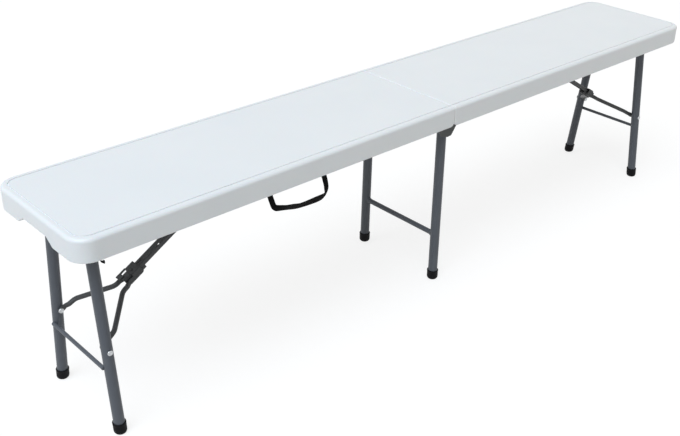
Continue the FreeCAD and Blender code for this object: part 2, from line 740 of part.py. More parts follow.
def end_leg():
    """Bent tube: two splayed legs and the level top that turns in the saddles."""
    body = new_body("end leg blank")
    spine = sketch_on(body, "YZ_Plane")
    foot = ("-(foot_spread / 2 - leg_splay * foot_floor)", "foot_floor")
    guess = {name: number(name) for name in ("corner_y", "axle_z", "bend_radius", "foot_spread")}
    low = Vector(-guess["foot_spread"] / 2, 0, 0)
    knee = Vector(-guess["corner_y"], guess["axle_z"] - guess["bend_radius"], 0)
    shoulder = Vector(guess["bend_radius"] - guess["corner_y"], guess["axle_z"], 0)
    bend_centre = Vector(shoulder.x, knee.y, 0)
    radius = guess["bend_radius"]
    lean = math.atan(number("leg_splay"))
    flip = lambda point: Vector(-point.x, point.y, 0)
    spine.addGeometry(Part.LineSegment(low, knee), False)
    spine.addGeometry(Part.LineSegment(shoulder, flip(shoulder)), False)
    spine.addGeometry(Part.LineSegment(flip(knee), flip(low)), False)
    near_arc = Part.Circle(bend_centre, AXIS_Z, radius)
    spine.addGeometry(Part.ArcOfCircle(near_arc, math.pi / 2, math.pi - lean), False)
    far_arc = Part.Circle(flip(bend_centre), AXIS_Z, radius)
    spine.addGeometry(Part.ArcOfCircle(far_arc, lean, math.pi / 2), False)
    rule = Sketcher.Constraint
    for first, first_end, second, second_end in ((0, 2, 3, 2), (1, 1, 3, 1), (1, 2, 4, 2), (2, 1, 4, 1)):
        spine.addConstraint(rule("Tangent", first, first_end, second, second_end))
    spine.addConstraint(rule("Horizontal", 1))
    for arc in (3, 4):
        index = spine.addConstraint(rule("Radius", arc, radius))
        bind(spine, "Constraints[%d]" % index, "bend_radius")
    pin_point(spine, 0, 1, foot[0], foot[1])
    pin_point(spine, 2, 2, "-(%s)" % foot[0], foot[1])
    index = spine.addConstraint(rule("DistanceY", -1, 1, 1, 1, guess["axle_z"]))
    bind(spine, "Constraints[%d]" % index, "axle_z")
    for line, end, way in ((0, 1, "-"), (2, 2, "")):
        index = spine.addConstraint(rule("Angle", -2, 1, line, end, -lean if way else lean))
        bind(spine, "Constraints[%d]" % index, way + "splay_angle")
    doc.recompute()
    ring = body.newObject("Sketcher::SketchObject", "ring")
    ring.AttachmentSupport = [(spine, "Edge1")]
    ring.MapMode = "NormalToEdge"
    for size in ("tube_radius", "tube_radius - tube_wall"):
        circle = ring.addGeometry(Part.Circle(Vector(), AXIS_Z, number(size)), False)
        ring.addConstraint(rule("Coincident", circle, 3, -1, 1))
        index = ring.addConstraint(rule("Radius", circle, number(size)))
        bind(ring, "Constraints[%d]" % index, size)
    pipe = body.newObject("PartDesign::AdditivePipe", "tube")
    pipe.Profile = ring
    pipe.Spine = (spine, [])
    body.Tip = pipe
    bind(body, "Placement.Base.x", "-leg_x")
    doc.recompute()
    return body


def leaning_bar(along, foot_y, angle, low, length, diameter):
    """A near-side bar that leans inwards from the floor; low is measured along it."""
    bar = doc.addObject("Part::Cylinder", "bar")
    bar.Placement = FreeCAD.Placement(Vector(), FreeCAD.Rotation(AXIS_X, -1))
    bind(bar, "Radius", "(%s) / 2" % diameter)
    bind(bar, "Height", length)
    bind(bar, "Placement.Rotation.Angle", "-(%s)" % angle)
    bind(bar, "Placement.Base.x", along)
    bind(bar, "Placement.Base.y", "-(%s) + (%s) * sin(%s)" % (foot_y, low, angle))
    bind(bar, "Placement.Base.z", "(%s) * cos(%s)" % (low, angle))
    return bar


def rubber_foot(along, foot_y, angle):
    """Moulded foot over the tube's end, cut level with the floor."""
    low = "-foot_floor"
    outer = leaning_bar(along, foot_y, angle, low, "foot_height + foot_floor", "foot_diameter")
    bore = leaning_bar(along, foot_y, angle, "foot_floor", "foot_height", "tube_diameter")
    ground = box(
        ("%s - foot_diameter" % along, "%s + foot_diameter" % along),
        ("-(%s) - foot_diameter" % foot_y, "-(%s) + foot_diameter" % foot_y),
        ("-2 * foot_diameter", "0"),
    )
    cone = doc.addObject("Part::Cone", "cone")
    bind(cone, "Radius1", "foot_diameter / 2 - foot_chamfer")
    bind(cone, "Radius2", "foot_diameter / 2 - foot_chamfer + 2 * foot_height")
    bind(cone, "Height", "2 * foot_height")
    bind(cone, "Placement.Base.x", along)
    bind(cone, "Placement.Base.y", "-(%s)" % foot_y)
    return common(cut(outer, bore, ground), cone)


def end_cross_rod(leg_outlines):
    """Rod on the outer side of the end leg, shaped to the tubes that it is welded to."""
    reach = "(foot_spread / 2 - leg_splay * end_rod_height - end_rod_inset)"
    bar = rod("y", "-" + reach, reach, ("-leg_x - end_rod_offset", "end_rod_height"), "end_rod_diameter")
    return cut(bar, *leg_outlines)


def leg_rivet():
    """The rivet's outer half, which stays in the leg and ends just short of the arm."""
    place = ("-leg_x", "rivet_height")
    shank = rod("y", "-leg_outer_face", "-(arm_tip_out + 2 * side_gap)", place, "rivet_diameter")
    head = rod("y", "-(leg_outer_face + rivet_head_thick)", "-leg_outer_face", place, "rivet_head")
    return fuse(shank, head)


# Brace, drawn along X from the leg's rivets and laid on its slope afterwards


def brace_link():
    """Pressed channel, open below, from its anchor to the tongue between the arms."""
    half = "link_width / 2"
    start = "arm_length - link_tongue"
    end = "brace_length + link_tail"
    body = new_body("link blank")
    sketch = sketch_on(body, "YZ_Plane", start)
    draw(sketch, [
        ("-" + half, "-link_ear"),
        ("-%s + link_sheet" % half, "-link_ear"),
        ("-%s + link_sheet" % half, "link_top - link_sheet"),
        ("%s - link_sheet" % half, "link_top - link_sheet"),
        ("%s - link_sheet" % half, "-link_ear"),
        (half, "-link_ear"),
        (half, "link_top"),
        ("-" + half, "link_top"),
    ])
    add_pad(body, sketch, "(%s) - (%s)" % (end, start))
    high = number("link_top")
    low = number("-link_ear")
    add_fillet(body, lambda edge, at: runs_along(edge, AXIS_X) and near(at.ZMax, high), "link_sheet")
    tongue = number(start)
    tongue_foot = lambda edge, at: runs_along(edge, AXIS_Y) and near(at.ZMax, low) and near(at.XMin, tongue)
    add_fillet(body, tongue_foot, "tongue_radius")
    tail = box(
        ("brace_length", "brace_length + 2 * link_tail"),
        ("-link_width", "link_width"),
        ("-2 * link_tail", "2 * link_tail"),
    )
    tail_round = rod("y", "-2 * link_width", "2 * link_width", ("brace_length", "0"), "2 * link_tail")
    cheek_room = box(
        ("brace_length - link_tail - brace_pin_diameter", "brace_length + 2 * link_tail"),
        ("link_sheet - %s" % half, "%s - link_sheet" % half),
        ("0", "2 * link_top"),
    )
    shallow = box(
        ("arm_length + link_ear_length", "brace_length - link_ear_length"),
        ("-link_width", "link_width"),
        ("-2 * link_ear", "-link_edge"),
    )
    slot_start = "lock_near + stud_place"
    slot = box(
        (slot_start, slot_start + " + lock_travel + stud_diameter + 2 * side_gap"),
        ("-stud_diameter / 2 - side_gap / 2", "stud_diameter / 2 + side_gap / 2"),
        ("0", "2 * link_top"),
    )
    hole = rod("z", "0", "2 * link_top", ("arm_length + link_hole_place", "-link_hole_side"), "link_hole")
    pins = [
        brace_pin("arm_length", "0", "2 * link_width", "2 * running_gap"),
        brace_pin("brace_length", "0", "2 * link_width", "2 * running_gap"),
    ]
    return place_in_brace(cut(body, shallow, slot, hole, cheek_room, cut(tail, tail_round), *pins))


def arm_path(side):
    """The near or far arm's axis, as a wire in the brace's own plane."""
    way = -1 if side == "near" else 1
    tip_y = number("arm_tip_out - arm_diameter / 2 - arm_set_in")
    turns = [
        (number("arm_tip_end"), tip_y),
        (number("arm_knee"), tip_y - number("arm_lean")),
        (number("arm_length - arm_neck"), number("arm_throat_y")),
        (number("arm_length - arm_head_end"), number("arm_throat_y")),
    ]
    points = [Vector(along, way * across, 0) for along, across in turns]
    return rounded_wire(points, number("arm_bend"))


def rounded_wire(points, radius):
    """Straight runs through the points, joined by tangent arcs."""
    edges = []
    start = points[0]
    for before, corner, after in zip(points, points[1:], points[2:]):
        back = (before - corner).normalize()
        on = (after - corner).normalize()
        half = back.getAngle(on) / 2
        reach = radius / math.tan(half)
        enter = corner + back * reach
        leave = corner + on * reach
        inward = (back + on).normalize()
        middle = corner + inward * (radius / math.sin(half) - radius)
        edges.append(Part.LineSegment(start, enter).toShape())
        edges.append(Part.Arc(enter, middle, leave).toShape())
        start = leave
    edges.append(Part.LineSegment(start, points[-1]).toShape())
    return Part.Wire(edges)


def swage(way, bar, flat):
    """The run from the round bar to a flattened end; each is its place, centre and half sizes."""
    steps = 5
    spots = 20
    squareness = 3
    wires = []
    for step in range(steps + 1):
        share = step / steps
        blend = share * share * (3 - 2 * share)
        along = bar[0] + (flat[0] - bar[0]) * share
        across, thick, tall = [one + (other - one) * blend for one, other in zip(bar[1:], flat[1:])]
        power = 1 / (1 + squareness * blend)
        ring = []
        for spot in range(spots):
            angle = 2 * math.pi * (spot + 0.5) / spots
            wide = math.copysign(abs(math.cos(angle)) ** power, math.cos(angle))
            high = math.copysign(abs(math.sin(angle)) ** power, math.sin(angle))
            ring.append(Vector(along, way * (across + thick * wide), tall * high))
        curve = Part.BSplineCurve()
        curve.interpolate(ring, True)
        wires.append(Part.Wire(curve.toShape()))
    run = doc.addObject("Part::Feature", "swage")
    run.Shape = Part.makeLoft(wires, True, False)
    return run


def brace_arm(side):
    """Bent round bar with a flattened tip at the leg and a flattened head at the joint."""
    way = -1 if side == "near" else 1
    wire = arm_path(side)
    start = wire.Edges[0].valueAt(wire.Edges[0].FirstParameter)
    heading = wire.Edges[0].tangentAt(wire.Edges[0].FirstParameter)
    ring = Part.Wire(Part.Circle(start, heading, number("arm_diameter / 2")).toShape())
    bar = doc.addObject("Part::Feature", "bar")
    bar.Shape = wire.makePipeShell([ring], True, False)
    inset = 0.2
    bite = 0.5
    round_half = number("arm_diameter / 2") - inset
    tip_thick = number("arm_tip_thick / 2") - inset
    head_thick = number("arm_head_thick / 2") - inset
    tip_run = swage(
        way,
        (start.x + bite, abs(start.y), round_half, round_half),
        (
            number("arm_tip_length") - bite, number("arm_tip_out - arm_tip_thick / 2"),
            tip_thick, number("arm_tip_height / 2") - inset,
        ),
    )
    head_run = swage(
        way,
        (number("arm_length - arm_head_end") - bite, number("arm_throat_y"), round_half, round_half),
        (
            number("arm_length - arm_head_length") + bite, number("arm_head_in + arm_head_thick / 2"),
            head_thick, number("arm_head_height / 2") - inset,
        ),
    )
    sides = ("-arm_head_out", "-arm_head_in") if side == "near" else ("arm_head_in", "arm_head_out")
    tips = ("-arm_tip_out", "-(arm_tip_out - arm_tip_thick)")
    if side == "far":
        tips = ("arm_tip_out - arm_tip_thick", "arm_tip_out")
    head = box(
        ("arm_length - arm_head_length", "arm_length"), sides,
        ("-arm_head_height / 2", "arm_head_height / 2"),
    )
    head_end = rod("y", sides[0], sides[1], ("arm_length", "0"), "arm_head_height")
    tip = box(("0", "arm_tip_length"), tips, ("-arm_tip_height / 2", "arm_tip_height / 2"))
    tip_end = rod("y", tips[0], tips[1], ("0", "0"), "arm_tip_height")
    holes = [
        brace_pin("arm_length", "0", "2 * link_width"),
        rod("y", "-half_width", "half_width", ("0", "0"), "rivet_diameter"),
    ]
    solid = fuse(bar, tip_run, head_run, head, head_end, tip, tip_end)
    return place_in_brace(cut(solid, *holes))


def arm_rivets():
    """The rivets' inner halves, which ride on the arms' tips."""
    place = ("0", "0")
    inside = "(arm_tip_out - arm_tip_thick)"
    shank = rod("y", "-(arm_tip_out + side_gap)", "-" + inside, place, "rivet_diameter")
    head = rod("y", "-" + inside, "-(%s - rivet_head_thick)" % inside, place, "rivet_head")
    return place_in_brace(both_sides(fuse(shank, head)))


def elbow_pin():
    """Flush pin through the arms' heads and the link."""
    return place_in_brace(group(brace_pin("arm_length", "0", "2 * arm_head_out")))


def brace_lock():
    """Sliding saddle over the joint, open below, with a finger loop on its far side."""
    body = new_body("lock blank")
    sketch = sketch_on(body, "YZ_Plane", "lock_near")
    draw(sketch, [
        ("-lock_out", "-lock_drop"),
        ("-lock_in", "-lock_drop"),
        ("-lock_in", "lock_head"),
        ("lock_in", "lock_head"),
        ("lock_in", "-lock_drop"),
        ("lock_out", "-lock_drop"),
        ("lock_out", "lock_head + lock_sheet"),
        ("-lock_out", "lock_head + lock_sheet"),
    ])
    add_pad(body, sketch, "lock_length")
    top = number("lock_head + lock_sheet")
    add_fillet(body, lambda edge, at: runs_along(edge, AXIS_X) and near(at.ZMax, top), "0.8 * lock_sheet")
    sheet_z = ("lock_head", "lock_head + lock_sheet")
    loop_out = "lock_out + loop_side"
    loop_bar = box(
        ("lock_near - loop_length", "lock_near + lock_sheet"),
        ("%s - loop_bar" % loop_out, loop_out),
        sheet_z,
    )
    loop_end = box(
        ("lock_near - loop_length", "lock_near - loop_length + loop_end"),
        ("spare", loop_out),
        sheet_z,
    )
    stud_hole = lock_stud_bar("lock_head - spare", "lock_head + 2 * lock_sheet", "stud_diameter")
    return place_in_brace(cut(fuse(body, loop_bar, loop_end), stud_hole))


def lock_stud_bar(low, high, diameter):
    """One round stretch of the lock's guide stud."""
    along = "lock_near + stud_place + side_gap + stud_diameter / 2"
    return rod("z", low, high, (along, "0"), diameter)


def lock_stud():
    """Headed guide stud of the lock, in the link's slot."""
    seat = "lock_head + lock_sheet"
    shank = lock_stud_bar("brace_pin_radius + 3 * side_gap", seat, "stud_diameter")
    head = lock_stud_bar(seat, seat + " + stud_head_thick", "2 * stud_diameter")
    return place_in_brace(fuse(shank, head))


# Mid leg


def mid_leg():
    """Straight tube from the rubber foot to the hinge pin, with a flat-cut top."""
    length = "hinge_z - foot_floor + tube_radius"
    low = "foot_floor"
    foot_y = "mid_foot_spread / 2"
    outer = leaning_bar("0", foot_y, "mid_angle", low, length, "tube_diameter")
    bore = leaning_bar("0", foot_y, "mid_angle", "0", "2 * hinge_z", "tube_diameter - 2 * tube_wall")
    return cut(outer, bore, hinge_hole("running_gap"))


def mid_cross_bar(leg_outlines):
    """Bar between the mid leg's tubes."""
    reach = "(mid_foot_spread / 2 - mid_splay * mid_bar_height)"
    bar = rod("y", "-" + reach, reach, ("0", "mid_bar_height"), "mid_bar_diameter")
    return cut(bar, *leg_outlines)


# Carry handle and travel latch


def handle_clip(place):
    """Steel clip between rail and rim, with the bar that the webbing hangs on."""
    left = "-%s - clip_width / 2" % place
    right = "-%s + clip_width / 2" % place
    back = box((left, right), ("-clip_out", "-clip_in"), ("handle_z + clip_foot", "deck_z - clip_drop"))
    bar = rod("x", left, right, ("-handle_y", "handle_z"), "clip_wire")
    ear_y = ("-clip_out", "-handle_y + clip_wire / 2")
    ear_z = ("handle_z - clip_wire / 2", "handle_z + clip_ear")
    left_ear = box((left, left + " + sheet"), ear_y, ear_z)
    right_ear = box((right + " - sheet", right), ear_y, ear_z)
    return cut(fuse(back, bar, left_ear, right_ear), clip_screw(place))


def clip_screw(place):
    """Screw through the rail and the clip into the rim."""
    at = ("-" + place, "deck_z - clip_screw_drop")
    bearing = "sheet - rail_y"
    shank = rod("y", "-pin_end", bearing, at, "small_screw")
    head = rod("y", bearing, bearing + " + small_screw_head_thick", at, "small_screw_head")
    return fuse(shank, head)


# How the webbing hangs: shares of the distance between the clips, and shares of its sag.
HANDLE_HANG = [
    (0, 0), (0.037, 0.27), (0.10, 0.68), (0.18, 0.89), (0.35, 0.98), (0.54, 1.0),
    (0.82, 0.99), (0.97, 0.95), (1.05, 0.78), (1.05, 0.52), (1.02, 0.25), (1, 0),
]


def handle_path():
    """Centre line of the webbing, hanging from one clip bar to the other."""
    left = -number("handle_left")
    span = number("handle_left - handle_right")
    top = number("handle_z - clip_wire / 2 - webbing_thick")
    sag = number("handle_sag")
    across = -number("handle_y")
    return [Vector(left + along * span, across, top - down * sag) for along, down in HANDLE_HANG]


def carry_handle():
    """Webbing loop: flat against the rim at its ends, turned flat side up in between."""
    curve = Part.BSplineCurve()
    curve.interpolate(handle_path())
    steps = 40
    flat_share = 0.09
    turning_share = 0.16
    gathered = 0.8
    half_wide = number("webbing_width / 2")
    half_thick = number("webbing_thick / 2")
    sections = []
    for step in range(steps + 1):
        share = step / steps
        at = curve.FirstParameter + share * (curve.LastParameter - curve.FirstParameter)
        centre = curve.value(at)
        heading = Vector(*curve.tangent(at)[0])
        in_plane = AXIS_Y.cross(heading).normalize()
        turned = min(1.0, max(0.0, (min(share, 1 - share) - flat_share) / turning_share))
        twist = math.radians(90) * turned * turned * (3 - 2 * turned)
        wide = in_plane * math.cos(twist) + AXIS_Y * math.sin(twist)
        flat = heading.cross(wide).normalize()
        narrowed = gathered + (1 - gathered) * turned
        ring = []
        for side, face in ((-1, -1), (1, -1), (1, 1), (-1, 1), (-1, -1)):
            ring.append(centre + wide * (side * half_wide * narrowed) + flat * (face * half_thick))
        sections.append(Part.makePolygon(ring))
    band = doc.addObject("Part::Feature", "band")
    band.Shape = Part.makeLoft(sections, True, True)
    loops = []
    rooms = []
    at = ("-handle_y", "handle_z")
    for place in ("handle_left", "handle_right"):
        low = "-%s - webbing_width * %s / 2" % (place, gathered)
        high = "-%s + webbing_width * %s / 2" % (place, gathered)
        loops.append(rod("x", low, high, at, "clip_wire + 2 * webbing_thick"))
        rooms.append(rod("x", low + " - spare", high + " + spare", at, "clip_wire + 2 * running_gap"))
    return cut(fuse(band, *loops), *rooms)


def latch_hook():
    """Flat plastic hook that holds the folded halves together."""
    low = "-clip_out"
    high = "-clip_out + latch_thick"
    room = "(catch_diameter / 2 + side_gap)"
    catch = "latch_z - latch_arm"
    left = "-latch_place - latch_half"
    right = "-latch_place + latch_half"
    outline = [
        (left, "latch_z"),
        (left + " * 0.8", catch),
        (left + " * 0.65", catch + " - 0.45 * latch_nose"),
        (right + " * 0.55", catch + " - latch_nose"),
        (right + " * 0.75", catch + " - 0.75 * latch_nose"),
        (right + " * 0.7", catch + " - " + room),
        ("-latch_place - " + room, catch + " - " + room),
        ("-latch_place - " + room, catch + " + catch_diameter"),
        (right, "latch_z"),
    ]
    arm = plate("latch arm", "XZ_Plane", outline, low, high)
    pivot = ("-latch_place", "latch_z")
    boss = rod("y", low, high, pivot, "2 * latch_half")
    bore = rod("y", "-half_width", "0", pivot, "catch_diameter + 2 * running_gap")
    return cut(fuse(arm, boss), bore)


def latch_pin():
    """Pivot of the latch, from the rail into the rim."""
    return rod("y", "-pin_end", "sheet - rail_y + spare", ("-latch_place", "latch_z"), "catch_diameter")


def catch_pin():
    """Pin in the right half's rim that the latch hooks when the bench is folded."""
    return rod("y", "-pin_end", "spare - rail_y", ("catch_x", "catch_z"), "catch_diameter")


def build():
    """Make every piece, left half first, then its mirror images."""
    screws = deck_screws()
    clips = group(clip_screw("handle_left"), clip_screw("handle_right"))
    latch_pivot = latch_pin()
    catch = catch_pin()
    catch_image = mirror(catch, "x")
    half = cut(seat_half(), screws)
    near_rail = cut(side_rail(), screws)
    far_rail = mirror(cut(side_rail(), mirror(screws, "y")), "y")
    outline = leaning_bar("-leg_x", "foot_spread / 2", "splay_angle", "0", "axle_z", "tube_diameter")
    leg_outlines = [outline, mirror(outline, "y")]
    rivets = both_sides(leg_rivet())
    foot = rubber_foot("-leg_x", "foot_spread / 2", "splay_angle")
    left_hinge = cut(left_bracket(), screws)
    right_hinge = cut(right_bracket(), mirror(screws, "x"))

    halves = {
        "rail_near": near_rail,
        "rail_far": far_rail,
        "leg_strap": cut(cross_strap("leg_x"), screws),
        "brace_strap": cut(cross_strap("anchor_x"), screws),
        "hinge_strap": cut(cross_strap("hinge_strap_place"), screws),
        "leg_saddles": cut(both_sides(leg_saddle()), screws),
        "brace_anchor": cut(brace_anchor(), screws),
        "anchor_pin": brace_pin("-anchor_x", "axle_z", "2 * (anchor_cheek + sheet + 1)"),
        "deck_screws": screws,
        "end_leg": cut(end_leg(), rivets),
        "end_cross_rod": end_cross_rod(leg_outlines),
        "end_feet": both_sides(foot),
        "leg_rivets": rivets,
        "brace_link": brace_link(),
        "brace_arm_near": brace_arm("near"),
        "brace_arm_far": brace_arm("far"),
        "elbow_pin": elbow_pin(),
        "arm_rivets": arm_rivets(),
        "brace_lock": brace_lock(),
        "lock_stud": lock_stud(),
    }
    node(cut(half, clips, latch_pivot), "seat_left")
    node(mirror(cut(half, catch_image), "x"), "seat_right")
    for name, item in halves.items():
        if name == "rail_near":
            node(cut(item, clips, latch_pivot), "rail_near_left")
            node(mirror(cut(item, catch_image), "x"), "rail_near_right")
            continue
        node(item, name + "_left")
        node(mirror(item, "x"), name + "_right")

    node(left_hinge, "hinge_bracket_near_left")
    node(mirror(left_hinge, "y"), "hinge_bracket_far_left")
    node(right_hinge, "hinge_bracket_near_right")
    node(mirror(right_hinge, "y"), "hinge_bracket_far_right")
    node(both_sides(hinge_pin()), "hinge_pins")
    node(both_sides(stop_pin()), "mid_leg_stop_pins")

    near_mid = mid_leg()
    outline = leaning_bar("0", "mid_foot_spread / 2", "mid_angle", "0", "hinge_z", "tube_diameter")
    node(near_mid, "mid_leg_near")
    node(mirror(near_mid, "y"), "mid_leg_far")
    node(mid_cross_bar([outline, mirror(outline, "y")]), "mid_cross_bar")
    node(both_sides(rubber_foot("0", "mid_foot_spread / 2", "mid_angle")), "mid_feet")

    node(carry_handle(), "carry_handle")
    handle_clips = group(handle_clip("handle_left"), handle_clip("handle_right"))
    node(handle_clips, "handle_clips")
    node(clips, "handle_screws")
    node(latch_hook(), "latch_hook")
    node(latch_pivot, "latch_pin")
    node(catch, "catch_pin")


def check_and_write():
    """Stop at anything failed, then write one file for each piece."""
    doc.recompute()
    failed = [item for item in doc.Objects if "Invalid" in item.State or "Error" in item.State]
    if failed:
        names = ["%s (%s) %s" % (item.Label, item.Name, item.getStatusString()) for item in failed]
        raise RuntimeError("failed: " + ", ".join(names))
    os.makedirs("parts", exist_ok=True)
    for item in NODES:
        shape = item.Shape
        if shape.isNull() or not shape.isValid() or not shape.Solids:
            raise RuntimeError("no valid solid: " + item.Label)
        shape.exportStep(os.path.join("parts", item.Label + ".step"))
    print("%d nodes written" % len(NODES))


build()
check_and_write()
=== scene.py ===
"""White folding bench: two moulded seat halves on dark powder-coated steel legs.

Lengths are written in millimetres and turned to metres where they reach Blender.
X runs along the bench, Y across it with the near side at -Y, and Z up from the floor.
"""

import json
import logging
import math
from dataclasses import dataclass
from enum import Enum
from typing import Any, Sequence

import bpy
from bpy.types import Light, Material, Node, NodeSocket, NodeTree, Object
from mathutils import Matrix, Vector

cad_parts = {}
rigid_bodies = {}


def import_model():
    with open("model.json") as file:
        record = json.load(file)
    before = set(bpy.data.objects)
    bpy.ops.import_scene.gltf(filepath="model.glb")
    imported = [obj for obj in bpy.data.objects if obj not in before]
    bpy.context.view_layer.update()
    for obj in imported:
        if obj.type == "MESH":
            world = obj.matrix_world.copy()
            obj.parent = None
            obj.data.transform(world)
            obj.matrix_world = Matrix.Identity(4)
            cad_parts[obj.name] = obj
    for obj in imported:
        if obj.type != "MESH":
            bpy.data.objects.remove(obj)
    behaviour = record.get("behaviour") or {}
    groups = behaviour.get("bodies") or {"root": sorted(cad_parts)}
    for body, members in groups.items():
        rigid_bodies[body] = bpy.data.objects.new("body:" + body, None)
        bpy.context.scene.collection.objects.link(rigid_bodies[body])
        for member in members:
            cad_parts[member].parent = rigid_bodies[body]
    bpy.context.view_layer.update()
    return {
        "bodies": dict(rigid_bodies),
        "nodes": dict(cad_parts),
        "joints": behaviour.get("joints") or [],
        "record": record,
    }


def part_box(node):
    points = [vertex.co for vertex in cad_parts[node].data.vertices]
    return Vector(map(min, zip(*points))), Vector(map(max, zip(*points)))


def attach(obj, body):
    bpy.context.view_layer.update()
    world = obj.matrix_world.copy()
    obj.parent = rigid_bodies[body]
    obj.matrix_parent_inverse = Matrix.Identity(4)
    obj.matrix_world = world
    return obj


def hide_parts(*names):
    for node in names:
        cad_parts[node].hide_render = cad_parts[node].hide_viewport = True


Colour = tuple[float, float, float, float]
Triple = tuple[float, float, float]
Profile = Sequence[tuple[float, float]]

MM = 0.001
WHITE: Colour = (1.0, 1.0, 1.0, 1.0)
CROSSWISE = Vector((0, 1, 0))

# Sockets of a Mix node that mixes colours
MIX_FACTOR = 0
MIX_FROM = 6
MIX_TO = 7
MIX_RESULT = 2

# Most values of a noise texture lie between these
NOISE_LOW = 0.3
NOISE_HIGH = 0.7

logging.basicConfig(level=logging.INFO, format="%(message)s")
log = logging.getLogger("folding_bench")


class Half(Enum):
    """The two halves of the bench, by the sign of X."""

    LEFT = -1
    RIGHT = 1

    @property
    def word(self) -> str:
        """The half's name as it stands in node names."""
        return self.name.lower()


# Node and mesh helpers


def linear(code: str) -> Colour:
    """Turn an sRGB hex colour into Blender's linear colour.

    Args:
        code: Colour such as "#E9ECEC".

    Returns:
        Linear red, green and blue with an alpha of 1.
    """
    parts = [int(code[place:place + 2], 16) / 255 for place in (1, 3, 5)]
    turned = [part / 12.92 if part <= 0.04045 else ((part + 0.055) / 1.055) ** 2.4 for part in parts]
    return (turned[0], turned[1], turned[2], 1.0)


def add_node(
    tree: NodeTree,
    kind: str,
    settings: dict[str | int, Any] | None = None,
    links: dict[str | int, NodeSocket] | None = None,
) -> Node:
    """Add one node with its settings and links.

    Args:
        tree: The tree that the node joins.
        kind: The node's type name.
        settings: Values for its properties, by name, and its inputs, by name or number.
        links: Output sockets for the node's inputs, by name or number.

    Returns:
        The new node.
    """
    node = tree.nodes.new(kind)
    for key, value in (settings or {}).items():
        if isinstance(key, int) or key in node.inputs:
            node.inputs[key].default_value = value
        else:
            setattr(node, key, value)
    for key, socket in (links or {}).items():
        tree.links.new(socket, node.inputs[key])
    return node


def deselect() -> None:
    """Leave nothing selected and nothing active."""
    if bpy.context.object is not None and bpy.context.object.mode != "OBJECT":
        bpy.ops.object.mode_set(mode="OBJECT")
    bpy.ops.object.select_all(action="DESELECT")


def select_only(piece: Object) -> None:
    """Select one piece and make it active.

    Args:
        piece: The piece.
    """
    deselect()
    piece.select_set(True)
    bpy.context.view_layer.objects.active = piece


def apply_place(piece: Object, place: Matrix) -> None:
    """Move a piece and write its place into its mesh.

    Args:
        piece: The piece.
        place: The move, in metres.
    """
    select_only(piece)
    piece.matrix_world = place @ piece.matrix_world
    bpy.ops.object.transform_apply(location=True, rotation=True, scale=True)


def smooth(piece: Object, degrees: float) -> None:
    """Shade a piece smooth wherever its faces meet at less than an angle."""
    select_only(piece)
    bpy.ops.object.shade_smooth_by_angle(angle=math.radians(degrees))


def turned_piece(name: str, profile: Profile, sides: int, lean: float = 0.0) -> Object:
    """Make a round piece about Z by extruding a disc ring by ring.

    Args:
        name: Name of the object.
        profile: Radius and height of each ring in millimetres, from the bottom.
        sides: Number of faces round the piece.
        lean: Sideways shift in Y for each millimetre of height.

    Returns:
        A closed mesh with its axis on the origin.
    """
    deselect()
    radius, height = profile[0]
    bpy.ops.mesh.primitive_circle_add(
        vertices=sides, radius=radius * MM, fill_type="NGON", location=(0, lean * height * MM, height * MM)
    )
    piece = bpy.context.object
    bpy.ops.object.transform_apply(location=True)
    bpy.ops.object.mode_set(mode="EDIT")
    bpy.ops.mesh.select_all(action="SELECT")
    for (before, low), (after, high) in zip(profile, profile[1:]):
        rise = (high - low) * MM
        bpy.ops.mesh.extrude_region_move(TRANSFORM_OT_translate={"value": (0, lean * rise, rise)})
        centre = (0, lean * high * MM, high * MM)
        bpy.ops.transform.resize(value=(after / before, after / before, 1), center_override=centre)
    bpy.ops.mesh.select_all(action="SELECT")
    bpy.ops.mesh.normals_make_consistent(inside=False)
    bpy.ops.object.mode_set(mode="OBJECT")
    piece.name = name
    piece.data.name = name
    return piece


def near_and_far(piece: Object, near: Matrix, far: Matrix, degrees: float) -> Object:
    """Put a piece on the near side and a copy on the far side, as one object.

    Args:
        piece: The piece, modelled on the origin.
        near: Place of the near one.
        far: Place of the far one.
        degrees: Angle below which faces are shaded smooth.

    Returns:
        Both pieces as one object, under the first one's name.
    """
    twin = piece.copy()
    twin.data = piece.data.copy()
    bpy.context.collection.objects.link(twin)
    apply_place(piece, near)
    apply_place(twin, far)
    select_only(piece)
    twin.select_set(True)
    bpy.ops.object.join()
    smooth(piece, degrees)
    return piece


# Finishes


